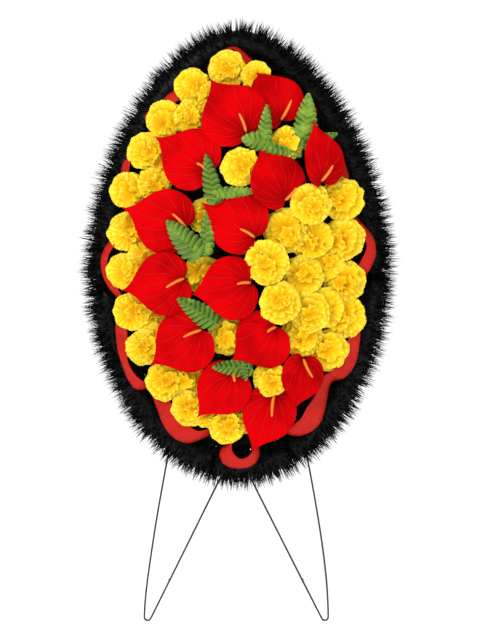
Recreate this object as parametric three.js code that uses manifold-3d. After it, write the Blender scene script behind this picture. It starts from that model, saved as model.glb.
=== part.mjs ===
// A funeral wreath on its wire stand: an egg-shaped ring of black tinsel garland on a steel frame,
// filled with needle rows and covered with artificial anthuriums, carnations, ferns and a red ribbon.
//
// The wreath is drawn flat, in its own leaning frame: x to the right, v up along the wreath and
// w out of its face. The floor is under v = 0. At the end the whole wreath leans back on its stand,
// so that +Z is up and the flowers face -Y. Everything is in millimetres.

import * as THREE from "three";
import { mergeVertices } from "three/addons/utils/BufferGeometryUtils.js";
import Module from "manifold-3d";

const wasm = await Module();
wasm.setup();

// ---------------------------------------------------------------- driving dimensions

const LEAN_DEG = 10;
const GAP = 0.3;
const WIRE_RADIUS = 2;
const WIRE_SIDES = 6;
const BAR_SIDES = 8;
const STEM_SIDES = 5;
const BINDING_SIDES = 4;

// The garland's centre line is an egg: half an ellipse below, a slightly pointed half above.
const EGG_CENTRE_V = 708;
const EGG_HALF_WIDTH = 266;
const EGG_TOP_HEIGHT = 442;
const EGG_BOTTOM_HEIGHT = 400;
const EGG_TOP_POWER = 1.72;
const EGG_BOTTOM_POWER = 1.95;

// The garland's bristles stand round its core in tufts, each tuft thicker than the waist after it.
const GARLAND_W = -14;
const BRISTLE_RADIUS = 43;
const BRISTLE_WAIST = 37;
const BRISTLE_END = 26;
const BRISTLE_SIDES = 8;
const TANGENT_STEP = 0.01;

// Where each length of garland runs on the egg, in degrees, and its number of tufts.
const GARLAND_LENGTHS = {
  top: [-3.6, 186.6, 20],
  left: [187.4, 258.4, 8],
  bottom: [259.4, 291.4, 4],
  right: [292.4, 355.6, 8],
};

// The frame's wires lie one behind the other, behind the garland.
const HOOP_W = GARLAND_W - BRISTLE_RADIUS - WIRE_RADIUS - GAP;
const BAR_W = HOOP_W - 2 * WIRE_RADIUS - GAP;
const PROP_W = BAR_W - 2 * WIRE_RADIUS - GAP;
const BAR_HEIGHTS = { upper: 980, middle: 715, lower: 450 };
// Each half of the hoop has this many bends and stops short of the spine by this angle.
const HOOP_STEPS = 20;
const HOOP_STOP_SHORT = 0.022;

// The needle rows fill the ring from the frame to the bed that the stems stand on.
const MAT_INSET = 48;
const MAT_FRONT_INSET = 44.5;
const MAT_FRONT_W = 8;
const MAT_BACK_W = HOOP_W + WIRE_RADIUS + GAP;
const MAT_ROW_PITCH = 62;
const MAT_ROW_DEPTH = 7;
const MAT_END = 3;

// The flowers' faces follow a low dome over the needle rows.
const BED_CENTRE_V = 735;
const BED_HALF_WIDTH = 235;
const BED_HALF_HEIGHT = 390;
const BED_EDGE_HEIGHT = 40;
const BED_CROWN = 26;

const STEM_RADIUS = 2.2;
const STEM_FOOT_W = MAT_FRONT_W + GAP;
const BINDING_RADIUS = 1.6;

// ---------------------------------------------------------------- finishes

function finish(colour, roughness, metalness = 0) {
  return { color: new THREE.Color(colour), roughness, metalness };
}

const FINISHES = {
  bristle: finish("#0d0f0d", 0.7),
  needle: finish("#10130f", 0.75),
  steel: finish("#3d4043", 0.4, 0.85),
  ribbon: finish("#e8362c", 0.3),
  anthurium: finish("#d8000f", 0.65),
  carnation: finish("#ffd21a", 0.75),
  fern: finish("#6f9a3a", 0.5),
};

// ---------------------------------------------------------------- closed meshes

/** A closed mesh from corner positions and triangles, turned so that its faces point outwards. */
function closedMesh(corners, triangles) {
  let volume = 0;
  for (let i = 0; i < triangles.length; i += 3) {
    const [a, b, c] = [corners[triangles[i]], corners[triangles[i + 1]], corners[triangles[i + 2]]];
    volume += a.dot(new THREE.Vector3().crossVectors(b, c));
  }
  if (volume < 0) {
    triangles.reverse();
  }
  const geometry = new THREE.BufferGeometry().setFromPoints(corners);
  geometry.setIndex(triangles);
  return geometry;
}

/**
 * A closed mesh through rings of points: walls join the rings, and flat caps close the ends.
 * The diagonals of the mirrored column run the other way.
 */
function loft(rings, mirrored = -1) {
  const count = rings[0].length;
  const last = (rings.length - 1) * count;
  const triangles = [];
  for (let row = 0; row < last; row += count) {
    for (let column = 0; column < count; column += 1) {
      const next = (column + 1) % count;
      if (column === mirrored) {
        triangles.push(row + column, row + next, row + count + column);
        triangles.push(row + next, row + count + next, row + count + column);
      } else {
        triangles.push(row + column, row + next, row + count + next);
        triangles.push(row + column, row + count + next, row + count + column);
      }
    }
  }
  for (let column = 1; column < count - 1; column += 1) {
    triangles.push(0, column + 1, column);
    triangles.push(last, last + column, last + column + 1);
  }
  return closedMesh(rings.flat(), triangles);
}

/** A round bar of changing radius along a list of points, with flat ends. */
function rod(points, radii, sides) {
  const rings = [];
  let normal = null;
  points.forEach((point, i) => {
    const before = points[Math.max(i - 1, 0)];
    const after = points[Math.min(i + 1, points.length - 1)];
    const tangent = after.clone().sub(before).normalize();
    if (normal === null) {
      const aside = Math.abs(tangent.z) < 0.9 ? new THREE.Vector3(0, 0, 1) : new THREE.Vector3(1, 0, 0);
      normal = aside;
    }
    normal = normal.clone().addScaledVector(tangent, -normal.dot(tangent)).normalize();
    const binormal = new THREE.Vector3().crossVectors(tangent, normal);
    const radius = Array.isArray(radii) ? radii[i] : radii;
    const ring = [];
    for (let side = 0; side < sides; side += 1) {
      const angle = (2 * Math.PI * side) / sides;
      const spoke = normal.clone().multiplyScalar(Math.cos(angle));
      spoke.addScaledVector(binormal, Math.sin(angle));
      ring.push(point.clone().addScaledVector(spoke, radius));
    }
    rings.push(ring);
  });
  return loft(rings);
}

function solidOf(geometry) {
  const bare = new THREE.BufferGeometry();
  bare.setAttribute("position", geometry.getAttribute("position"));
  if (geometry.getIndex()) {
    bare.setIndex(geometry.getIndex());
  }
  const merged = mergeVertices(bare);
  const vertProperties = new Float32Array(merged.getAttribute("position").array);
  const triVerts = new Uint32Array(merged.getIndex().array);
  return new wasm.Manifold(new wasm.Mesh({ numProp: 3, vertProperties, triVerts }));
}

function geometryOf(solid) {
  const mesh = solid.getMesh();
  const geometry = new THREE.BufferGeometry();
  geometry.setAttribute("position", new THREE.BufferAttribute(new Float32Array(mesh.vertProperties), 3));
  geometry.setIndex(Array.from(mesh.triVerts));
  return geometry;
}

function joined(solids) {
  return solids.reduce((whole, solid) => whole.add(solid));
}

/** The largest body of a solid that cuts have left in several pieces. */
function largestBody(solid) {
  return solid.decompose().reduce((best, body) => (body.volume() > best.volume() ? body : best));
}

function boxesMeet(first, second) {
  const a = first.boundingBox();
  const b = second.boundingBox();
  return [0, 1, 2].every((axis) => a.min[axis] < b.max[axis] && b.min[axis] < a.max[axis]);
}

// ---------------------------------------------------------------- the egg and the bed

function point(x, v, w) {
  return new THREE.Vector3(x, v, w);
}

/** A point on the egg at an angle, anticlockwise from the right-hand side, moved inwards by inset. */
function eggPoint(angle, w, inset = 0) {
  const cosine = Math.cos(angle);
  const sine = Math.sin(angle);
  const top = sine >= 0;
  const power = 2 / (top ? EGG_TOP_POWER : EGG_BOTTOM_POWER);
  const height = (top ? EGG_TOP_HEIGHT : EGG_BOTTOM_HEIGHT) - inset;
  const x = (EGG_HALF_WIDTH - inset) * Math.sign(cosine) * Math.abs(cosine) ** power;
  const v = EGG_CENTRE_V + height * Math.sign(sine) * Math.abs(sine) ** power;
  return point(x, v, w);
}

function eggHalfWidth(v, inset = 0) {
  const rise = v - EGG_CENTRE_V;
  const top = rise >= 0;
  const power = top ? EGG_TOP_POWER : EGG_BOTTOM_POWER;
  const height = (top ? EGG_TOP_HEIGHT : EGG_BOTTOM_HEIGHT) - inset;
  const share = Math.min(1, Math.abs(rise) / height);
  return (EGG_HALF_WIDTH - inset) * (1 - share ** power) ** (1 / power);
}

function bedHeight(x, v) {
  const across = x / BED_HALF_WIDTH;
  const along = (v - BED_CENTRE_V) / BED_HALF_HEIGHT;
  return BED_EDGE_HEIGHT + BED_CROWN * Math.max(0, 1 - across * across - along * along);
}

// ---------------------------------------------------------------- garland, frame and needle rows

/** One length of tinsel garland between two angles on the egg, thick and thin by turns. */
function garland(fromDeg, toDeg, tufts) {
  const rings = [];
  const steps = 2 * tufts;
  const spokeW = new THREE.Vector3(0, 0, 1);
  for (let step = 0; step <= steps; step += 1) {
    const angle = THREE.MathUtils.degToRad(fromDeg + ((toDeg - fromDeg) * step) / steps);
    const centre = eggPoint(angle, GARLAND_W);
    const ahead = eggPoint(angle + TANGENT_STEP, GARLAND_W);
    const tangent = ahead.sub(eggPoint(angle - TANGENT_STEP, GARLAND_W)).normalize();
    const outward = new THREE.Vector3(tangent.y, -tangent.x, 0);
    const atEnd = step === 0 || step === steps;
    const waist = step % 2 === 0 ? BRISTLE_WAIST : BRISTLE_RADIUS;
    const radius = atEnd ? BRISTLE_END : waist;
    const ring = [];
    for (let side = 0; side < BRISTLE_SIDES; side += 1) {
      const turn = (2 * Math.PI * (side + 0.5 * (step % 2))) / BRISTLE_SIDES;
      const spoke = outward.clone().multiplyScalar(Math.cos(turn)).addScaledVector(spokeW, Math.sin(turn));
      ring.push(centre.clone().addScaledVector(spoke, radius));
    }
    rings.push(ring);
  }
  return loft(rings);
}

/** Half of the steel hoop, from its foot on the spine to its head on the spine. */
function hoopHalf(side) {
  const steps = HOOP_STEPS;
  const stopShort = HOOP_STOP_SHORT;
  const points = [];
  for (let step = 0; step <= steps; step += 1) {
    const climb = -Math.PI / 2 + stopShort + ((Math.PI - 2 * stopShort) * step) / steps;
    const right = eggPoint(climb, HOOP_W);
    points.push(point(side * right.x, right.y, right.z));
  }
  return rod(points, WIRE_RADIUS, WIRE_SIDES);
}

function crossBar(v) {
  const reach = eggHalfWidth(v) + WIRE_RADIUS;
  return rod([point(-reach, v, BAR_W), point(reach, v, BAR_W)], WIRE_RADIUS, BAR_SIDES);
}

function spine() {
  const foot = EGG_CENTRE_V - EGG_BOTTOM_HEIGHT - WIRE_RADIUS;
  const head = EGG_CENTRE_V + EGG_TOP_HEIGHT + WIRE_RADIUS;
  return rod([point(0, foot, HOOP_W), point(0, head, HOOP_W)], WIRE_RADIUS, BAR_SIDES);
}

/** Rows of needle garland wound over the frame, as one ribbed pad with a level front. */
function needleMat() {
  const foot = EGG_CENTRE_V - EGG_BOTTOM_HEIGHT + MAT_INSET + MAT_END;
  const head = EGG_CENTRE_V + EGG_TOP_HEIGHT - MAT_INSET - MAT_END;
  const rows = 2 * Math.round((head - foot) / MAT_ROW_PITCH);
  const rings = [];
  for (let row = 0; row <= rows; row += 1) {
    const v = foot + ((head - foot) * row) / rows;
    const reach = eggHalfWidth(v, MAT_INSET);
    const frontReach = eggHalfWidth(v, MAT_FRONT_INSET);
    const groove = row % 2 === 0 ? MAT_ROW_DEPTH : 0;
    rings.push([
      point(-frontReach, v, MAT_FRONT_W),
      point(frontReach, v, MAT_FRONT_W),
      point(reach, v, GARLAND_W),
      point(reach - groove, v, MAT_BACK_W + groove),
      point(groove - reach, v, MAT_BACK_W + groove),
      point(-reach, v, GARLAND_W),
    ]);
  }
  return loft(rings);
}

// ---------------------------------------------------------------- stand

// Each front leg is one wire bent like a hairpin: down from the lower bar on the outside, round a
// tight foot, and up again to the middle. The lists of [x, v] run from the bar to the foot and back.
const LEG_TOP_V = BAR_HEIGHTS.lower - WIRE_RADIUS - GAP;
const LEG_LEFT = {
  outer: [[-118, LEG_TOP_V], [-133, 380], [-145, 314], [-165, 206], [-178, 120], [-188, 50]],
  foot: { x: -184, radius: 7 },
  inner: [
    [-165.3, 22], [-138.6, 76], [-109.8, 134], [-80.1, 194], [-51.4, 252],
    [-24.6, 306], [-9, 336], [-4.6, 354], [-4.6, LEG_TOP_V],
  ],
};
const LEG_RIGHT = {
  outer: [[114, LEG_TOP_V], [128, 366], [139, 314], [152, 244], [168, 148], [178, 62]],
  foot: { x: 173, radius: 7 },
  inner: [
    [156, 18], [125.5, 78], [91, 146], [54.4, 218], [28, 270],
    [12, 304], [6, 322], [4.6, 340], [4.6, LEG_TOP_V],
  ],
};
const FOOT_LOWEST_V = -7;
const FOOT_FLAT = 0.8;
const FOOT_BEND_STEPS = 6;
// Each foot turns the wire through this angle, from the outer side on to the slope of the inner.
const FOOT_SWEEP = THREE.MathUtils.degToRad(153);

function legPath({ outer, foot, inner }, side) {
  const place = ([x, v]) => point(x, v, BAR_W);
  const footV = FOOT_LOWEST_V + foot.radius;
  const bend = [];
  for (let step = 0; step <= FOOT_BEND_STEPS; step += 1) {
    const sweep = (FOOT_SWEEP * step) / FOOT_BEND_STEPS;
    const angle = side < 0 ? Math.PI + sweep : 2 * Math.PI - sweep;
    bend.push(point(foot.x + foot.radius * Math.cos(angle), footV + foot.radius * Math.sin(angle), BAR_W));
  }
  return [...outer.map(place), ...bend, ...inner.map(place)];
}

// The rear prop is one wire bent to an inverted V, tied behind the legs where they meet. Each side
// is straight from its heel to its neck and upright above it, and ends in a toe along the floor.
const PROP_APEX_V = 346;
const PROP_APEX_HALF = 5;
const PROP_CROWN = { half: 3, rise: 3 };
const PROP_LEFT = { footX: -145.8, neckX: -15, neckShare: 0.93 };
const PROP_RIGHT = { footX: 133.2, neckX: 9.8, neckShare: 0.86 };
const PROP_FEET_Y = 404;
const PROP_TOE = 22;
const PROP_TOE_BEND = 0.75;
// Where each side is set out, as shares of the way from its heel to its neck.
const PROP_STATIONS = [0.012, 0.04, 0.25, 0.5, 0.75, 0.9, 1];

const LEAN = THREE.MathUtils.degToRad(LEAN_DEG);
const FLOOR_RISE = -(FOOT_LOWEST_V * Math.cos(LEAN) + BAR_W * Math.sin(LEAN)) + WIRE_RADIUS - FOOT_FLAT;

/** Where a point of the leaning wreath stands over the floor. */
function standing({ x, y: v, z: w }) {
  const back = v * Math.sin(LEAN) - w * Math.cos(LEAN);
  const up = v * Math.cos(LEAN) + w * Math.sin(LEAN) + FLOOR_RISE;
  return new THREE.Vector3(x, back, up);
}

/** One side of the rear prop, from its toe over its heel to the crown. */
function propSide({ footX, neckX, neckShare }) {
  const height = WIRE_RADIUS - FOOT_FLAT;
  const side = Math.sign(footX);
  const heel = new THREE.Vector3(footX, PROP_FEET_Y, height);
  const toe = new THREE.Vector3(footX, PROP_FEET_Y + PROP_TOE, height);
  const top = standing(point(side * PROP_APEX_HALF, PROP_APEX_V, PROP_W));
  const rising = PROP_STATIONS.map((share) => {
    const place = heel.clone().lerp(top, share * neckShare);
    place.x = THREE.MathUtils.lerp(footX, neckX, share);
    return place;
  });
  const crown = standing(point(side * PROP_CROWN.half, PROP_APEX_V + PROP_CROWN.rise, PROP_W));
  return [toe, toe.clone().lerp(heel, PROP_TOE_BEND), ...rising, top, crown];
}

function rearPropPath() {
  return [...propSide(PROP_LEFT), ...propSide(PROP_RIGHT).reverse()];
}

// ---------------------------------------------------------------- ribbon

// The ribbon lies in loops on the garland, between joins that are pinned under the flowers.
// Each station is [outer x, outer v, inner x, inner v], and the lists run down the wreath.
const RIBBON_TOP = [
  [-64, 1098, -54, 1096], [-55, 1117, -47, 1111], [-38, 1131, -34, 1124], [-24, 1140, -22, 1134],
  [-12, 1143, -12, 1138], [0, 1140, -4, 1133], [11, 1131, 3, 1122], [23, 1120, 9, 1112],
  [31, 1112, 13, 1102], [36, 1102, 18, 1093],
];
const RIBBON_LEFT = [
  [-76, 1074, -70, 1056], [-120, 1060, -112, 1040], [-134, 1052, -122, 1034], [-146, 1044, -134, 1026],
  [-170, 1014, -152, 1008], [-184, 1012, -172, 1008], [-188, 998, -174, 994], [-176, 966, -164, 960],
  [-196, 944, -184, 938], [-226, 918, -214, 920], [-234, 902, -218, 902], [-233, 886, -222, 884],
  [-237, 866, -230, 866], [-238, 846, -232, 842], [-226, 816, -217, 814],
  [-241, 792, -233, 789], [-252, 764, -240, 758], [-270, 738, -258, 732], [-276, 712, -263, 710],
  [-270, 682, -256, 684], [-257, 658, -243, 662], [-241, 640, -231, 643],
  [-238, 618, -229, 616], [-246, 594, -224, 594], [-245, 568, -222, 560], [-242, 538, -224, 530],
  [-234, 512, -218, 506], [-222, 480, -202, 484], [-204, 458, -186, 474], [-178, 462, -168, 474],
  [-172, 446, -150, 452], [-160, 410, -128, 424], [-146, 380, -112, 402], [-126, 360, -98, 386],
  [-98, 352, -80, 376], [-60, 368, -56, 384],
];
const RIBBON_BOTTOM = [
  [-14, 358, -8, 362], [-34, 344, -14, 352], [-40, 330, -14, 338], [-32, 312, -5, 326],
  [-14, 303, 5, 321], [12, 303, 18, 326], [32, 312, 26, 336], [42, 332, 28, 348],
  [38, 350, 26, 358],
];
const RIBBON_RIGHT = [
  [150, 1026, 138, 1022], [156, 1014, 140, 1012], [150, 996, 138, 998], [176, 954, 164, 946],
  [206, 922, 190, 914], [216, 898, 198, 894], [220, 872, 202, 870], [210, 836, 196, 836],
  [232, 806, 222, 798], [248, 788, 240, 780], [264, 770, 250, 764], [273, 744, 255, 744],
  [270, 718, 246, 722], [256, 690, 236, 704], [226, 656, 212, 664],
  [234, 610, 216, 604], [242, 582, 222, 576], [240, 550, 214, 546], [234, 516, 204, 520],
  [222, 494, 190, 502], [206, 480, 180, 492], [184, 476, 172, 492],
  [176, 444, 150, 446], [170, 414, 134, 422], [160, 390, 124, 402], [138, 372, 112, 392],
  [112, 366, 96, 384], [84, 376, 80, 392],
];
const RIBBONS = { top: RIBBON_TOP, left: RIBBON_LEFT, bottom: RIBBON_BOTTOM, right: RIBBON_RIGHT };
const RIBBON_THICKNESS = 1;
const RIBBON_VALLEY_W = 12;
const RIBBON_PEAK_W = 34;
const RIBBON_STAND = 15;
const RIBBON_STAND_LEAST = 4;
const RIBBON_SLOPE = 58;
const RIBBON_STEPS = 2;
const BAND_UNDERSIDE = 2;

/** The lower edge of the ribbon: pinned deep inside the ring and resting on the garland outside. */
function ribbonFloor(x, v) {
  const rim = eggHalfWidth(v);
  const reach = Math.hypot(x, v - EGG_CENTRE_V);
  const scale = rim > 1 ? Math.hypot(rim, v - EGG_CENTRE_V) : reach;
  const inside = scale - reach;
  const share = THREE.MathUtils.clamp(1 - inside / RIBBON_SLOPE, 0, 1);
  return RIBBON_VALLEY_W + (RIBBON_PEAK_W - RIBBON_VALLEY_W) * Math.sqrt(share);
}

/** A thin band between two edges. Both of its skins bend along the same diagonals. */
function band(outers, inners) {
  const middles = outers.map((outer, i) => outer.clone().lerp(inners[i], 0.5));
  const rings = outers.map((outer, i) => {
    const before = middles[Math.max(i - 1, 0)];
    const after = middles[Math.min(i + 1, middles.length - 1)];
    const wall = inners[i].clone().sub(outer);
    const skin = after.clone().sub(before).cross(wall).setLength(RIBBON_THICKNESS / 2);
    const outerSide = [outer.clone().add(skin), outer.clone().sub(skin)];
    const innerSide = [inners[i].clone().add(skin), inners[i].clone().sub(skin)];
    return [outerSide[0], innerSide[0], innerSide[1], outerSide[1]];
  });
  return loft(rings, BAND_UNDERSIDE);
}

function ribbon(stations) {
  const outers = [];
  const inners = [];
  for (const [outerX, outerV, innerX, innerV] of stations) {
    const low = ribbonFloor(outerX, outerV);
    const ceiling = Math.min(bloomCeiling(outerX, outerV), bloomCeiling(innerX, innerV));
    const stand = THREE.MathUtils.clamp(ceiling - low, RIBBON_STAND_LEAST, RIBBON_STAND);
    outers.push(point(outerX, outerV, low));
    inners.push(point(innerX, innerV, low + stand));
  }
  const steps = (stations.length - 1) * RIBBON_STEPS;
  const smooth = (points) => new THREE.CatmullRomCurve3(points).getPoints(steps);
  return band(smooth(outers), smooth(inners));
}

// ---------------------------------------------------------------- anthuriums

// Half of the heart, from the notch behind the spadix round one lobe to the tip:
// [share of the half width, share of the length].
const HEART = [
  [0, -0.02], [0.3, -0.1], [0.62, -0.04], [0.9, 0.12], [1, 0.32], [0.92, 0.5],
  [0.68, 0.65], [0.38, 0.78], [0.12, 0.9], [0, 1.02],
];
const SPATHE_THICKNESS = 1.6;
const SPATHE_HEART_CENTRE = 0.28;
const SPATHE_DROOP = 4;
const SPATHE_RINGS = [0.5, 1];
const SPATHE_LEAST_REACH = 40;
const SPADIX_RADII = [3.4, 3, 2.2, 1.1];
const SPADIX_RISE = 15;
const SPADIX_SEAT = 1;

// base and tip: the two ends of the midrib, as [x, v]. sides: half widths on its left and right.
// lift: height of the base over the bed. tipRise and roll: how much higher the tip and the left
// edge stand. spadix: the [x, v] of the spadix's tip.
const ANTHURIUMS = [
  { base: [14, 970], tip: [-56, 1074], sides: [70, 66], lift: 42, tipRise: 0, roll: 0, spadix: [0, 1006] },
  { base: [84, 996], tip: [34, 1096], sides: [58, 62], lift: 27, tipRise: -20, roll: 2, spadix: [104, 1034] },
  { base: [-62, 894], tip: [-164, 960], sides: [61, 66], lift: 36, tipRise: 0, roll: 0, spadix: [-84, 908] },
  { base: [-106, 782], tip: [-228, 820], sides: [66, 64], lift: 29, tipRise: 2, roll: 0, spadix: [-132, 808] },
  { base: [92, 836], tip: [42, 946], sides: [54, 56], lift: 28, tipRise: 22, roll: 14, spadix: [114, 860] },
  { base: [164, 874], tip: [148, 992], sides: [28, 50], lift: 38, tipRise: 6, roll: 8, spadix: [186, 904] },
  { base: [30, 762], tip: [-72, 828], sides: [54, 71], lift: 36, tipRise: 0, roll: 0, spadix: [2, 778] },
  { base: [-110, 680], tip: [-230, 657], sides: [67, 60], lift: 36, tipRise: 0, roll: 0, spadix: [-144, 662] },
  { base: [22, 672], tip: [-94, 649], sides: [68, 60], lift: 30, tipRise: 0, roll: 0, spadix: [-4, 669] },
  { base: [-76, 578], tip: [-174, 510], sides: [66, 61], lift: 30, tipRise: 0, roll: 0, spadix: [-110, 564] },
  { base: [72, 584], tip: [-14, 518], sides: [66, 54], lift: 24, tipRise: 0, roll: 0, spadix: [56, 574] },
  { base: [-10, 494], tip: [-82, 406], sides: [60, 50], lift: 24, tipRise: 0, roll: 0, spadix: [-8, 476] },
  { base: [70, 452], tip: [26, 336], sides: [58, 48], lift: 18, tipRise: 2, roll: 0, spadix: [65, 406] },
  { base: [128, 520], tip: [110, 420], sides: [46, 38], lift: 25, tipRise: 0, roll: 2, spadix: [146, 484] },
];

/** The spathe: a thin heart-shaped sheet that follows the dome of the bed. */
function spathe(flower, grow) {
  const base = new THREE.Vector2(...flower.base);
  const tip = new THREE.Vector2(...flower.tip);
  const along = tip.clone().sub(base);
  const left = new THREE.Vector2(-along.y, along.x).normalize();
  const outline = [
    ...HEART.map(([across, share]) => [across, share]),
    ...HEART.slice(1, -1).reverse().map(([across, share]) => [-across, share]),
  ];
  const stretch = 1 + grow / SPATHE_LEAST_REACH;
  const place = (across, share, side) => {
    const half = across >= 0 ? flower.sides[0] : flower.sides[1];
    const spot = base.clone().addScaledVector(along, share).addScaledVector(left, across * half);
    const rise = flower.tipRise * share + flower.roll * across;
    const droop = SPATHE_DROOP * (across * across + (share - SPATHE_HEART_CENTRE) ** 2);
    const w = bedHeight(spot.x, spot.y) + flower.lift + rise - droop;
    return point(spot.x, spot.y, w + side * (SPATHE_THICKNESS / 2 + grow));
  };
  const corners = [];
  for (const side of [1, -1]) {
    corners.push(place(0, SPATHE_HEART_CENTRE, side));
    for (const ring of SPATHE_RINGS) {
      for (const [across, share] of outline) {
        const reach = ring * stretch;
        const ahead = SPATHE_HEART_CENTRE + (share - SPATHE_HEART_CENTRE) * reach;
        corners.push(place(across * reach, ahead, side));
      }
    }
  }
  return closedMesh(corners, sheetTriangles(outline.length));
}

/** Triangles of a thin sheet: a hub, a middle ring and a rim on each face, and the edge between. */
function sheetTriangles(count) {
  const triangles = [];
  const face = 1 + 2 * count;
  for (let i = 0; i < count; i += 1) {
    const next = (i + 1) % count;
    for (const [start, turned] of [[0, false], [face, true]]) {
      const [hub, a, b] = [start, start + 1 + i, start + 1 + next];
      const [c, d] = [a + count, b + count];
      const flat = [[hub, a, b], [a, c, d], [a, d, b]];
      for (const [p, q, r] of flat) {
        triangles.push(...(turned ? [p, r, q] : [p, q, r]));
      }
    }
    const [topA, topB] = [1 + count + i, 1 + count + next];
    triangles.push(topA, topA + face, topB + face, topA, topB + face, topB);
  }
  return triangles;
}

function anthurium(flower, grow = 0) {
  const [x, v] = flower.base;
  const seat = bedHeight(x, v) + flower.lift;
  const [tipX, tipV] = flower.spadix;
  const spadixPoints = SPADIX_RADII.map((radius, i) => {
    const share = i / (SPADIX_RADII.length - 1);
    const rise = SPADIX_SEAT + SPADIX_RISE * Math.sin((share * Math.PI) / 2);
    return point(x + (tipX - x) * share, v + (tipV - v) * share, seat + rise);
  });
  const stem = [point(x, v, STEM_FOOT_W - grow), point(x, v, seat)];
  return joined([
    solidOf(spathe(flower, grow)),
    solidOf(rod(spadixPoints, SPADIX_RADII.map((radius) => radius + grow), STEM_SIDES)),
    solidOf(rod(stem, STEM_RADIUS + grow, STEM_SIDES)),
  ]);
}

// ---------------------------------------------------------------- ferns

const FROND_THICKNESS = 1.2;
const FROND_PINNAE = 6;
const FROND_NOTCH = 0.66;
const FROND_TAPER = 1.7;
const FROND_DROOP = 2;
// A frond is narrower at its start, up to this share of its length.
const FROND_SHOULDER = { width: 0.7, end: 0.2 };
// Each pinna's notch and tip, as shares of the length after its root.
const PINNA = { notch: 0.02, tip: 0.09 };

// Each sprig has a stem foot and fronds: base and tip as [x, v], a half width, and the height of
// both ends over the bed.
const FERNS = [
  {
    stem: [-47, 850],
    fronds: [
      { base: [-48, 832], tip: [-65, 928], half: 20, lift: [44, 47] },
      { base: [-48, 848], tip: [44, 856], half: 11, lift: [41, 39] },
    ],
  },
  {
    stem: [46, 952],
    fronds: [
      { base: [48, 942], tip: [56, 1024], half: 14, lift: [50, 52] },
      { base: [56, 950], tip: [6, 956], half: 20, lift: [50, 50] },
      { base: [44, 944], tip: [124, 922], half: 10, lift: [49, 30] },
    ],
  },
  {
    stem: [132, 946],
    fronds: [
      { base: [128, 940], tip: [138, 1048], half: 25, lift: [33, 40] },
      { base: [126, 944], tip: [196, 968], half: 14, lift: [33, 22] },
    ],
  },
  {
    stem: [-68, 731],
    fronds: [
      { base: [-78, 722], tip: [-143, 795], half: 29, lift: [44, 40] },
      { base: [-64, 728], tip: [-64, 816], half: 14, lift: [42, 30] },
    ],
  },
  {
    stem: [-54, 602],
    fronds: [{ base: [-44, 590], tip: [-122, 641], half: 23, lift: [24, 43] }],
  },
  {
    stem: [22, 503],
    fronds: [
      { base: [26, 502], tip: [-53, 505], half: 18, lift: [20, 34] },
      { base: [6, 510], tip: [14, 478], half: 9, lift: [25, 31] },
    ],
  },
];

/** How high over the bed a frond lies at a point. */
function frondRise({ base, tip, half, lift }, spot) {
  const start = new THREE.Vector2(...base);
  const along = new THREE.Vector2(...tip).sub(start);
  const offset = spot.clone().sub(start);
  const share = offset.dot(along) / along.lengthSq();
  const across = offset.cross(along) / along.length() / half;
  return lift[0] + (lift[1] - lift[0]) * share - FROND_DROOP * across * across;
}

/** A frond: a thin leaf with a saw-toothed edge, bent over the dome of the bed. */
function frond(leaf, grow) {
  const { base, tip, half } = leaf;
  const start = new THREE.Vector2(...base);
  const along = new THREE.Vector2(...tip).sub(start);
  const left = new THREE.Vector2(-along.y, along.x).normalize();
  const edge = [];
  for (let pinna = 0; pinna < FROND_PINNAE; pinna += 1) {
    const share = pinna / FROND_PINNAE;
    const shoulder = THREE.MathUtils.lerp(FROND_SHOULDER.width, 1, Math.min(1, share / FROND_SHOULDER.end));
    const width = half * (1 - share ** FROND_TAPER) * shoulder;
    edge.push([share + PINNA.notch, width * FROND_NOTCH], [share + PINNA.tip, width]);
  }
  const outline = [
    ...edge.map(([share, width]) => [share, width + grow]),
    [1 + grow / along.length(), 0],
    ...edge.map(([share, width]) => [share, -width - grow]).reverse(),
  ];
  const corners = outline.map(([share, width]) => {
    return start.clone().addScaledVector(along, share).addScaledVector(left, width);
  });
  const blade = new THREE.ExtrudeGeometry(new THREE.Shape(corners), {
    depth: FROND_THICKNESS + 2 * grow,
    bevelEnabled: false,
  });
  const places = blade.getAttribute("position");
  for (let i = 0; i < places.count; i += 1) {
    const spot = new THREE.Vector2(places.getX(i), places.getY(i));
    places.setZ(i, bedHeight(spot.x, spot.y) + frondRise(leaf, spot) + places.getZ(i) - grow);
  }
  return blade;
}

function fern(sprig, grow = 0) {
  const [x, v] = sprig.stem;
  const highest = Math.max(...sprig.fronds.map((leaf) => frondRise(leaf, new THREE.Vector2(x, v))));
  const top = bedHeight(x, v) + highest + FROND_THICKNESS;
  const stem = rod([point(x, v, STEM_FOOT_W - grow), point(x, v, top)], STEM_RADIUS + grow, STEM_SIDES);
  return joined([solidOf(stem), ...sprig.fronds.map((leaf) => solidOf(frond(leaf, grow)))]);
}

// ---------------------------------------------------------------- carnations

// Rings of a bloom from the calyx to the crown: [share of the radius, height as a share of it,
// how far the pleats move the ring in and out, how far the ring follows the tuft].
const BLOOM_RINGS = [
  [0.17, -0.34, 0, 0], [1, -0.02, 0.03, 0],
  [0.86, 0.18, 0.06, 0.3], [0.4, 0.36, 0.12, 1],
];
const BLOOM_SIDES = 12;
const BLOOM_PLEAT_LIFT = 0.5;
const BLOOM_STEM_END = 0.2;
const BLOOM_NEAR = 2;
// The underside of a bloom rises from its calyx to its rim: how far below the bloom's middle a
// ribbon has to pass at the rim, how much lower at the calyx, and how far out this counts.
const BLOOM_UNDERSIDE = { rim: 0.04, calyx: 0.42, reach: 1.1, room: 1 };

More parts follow.
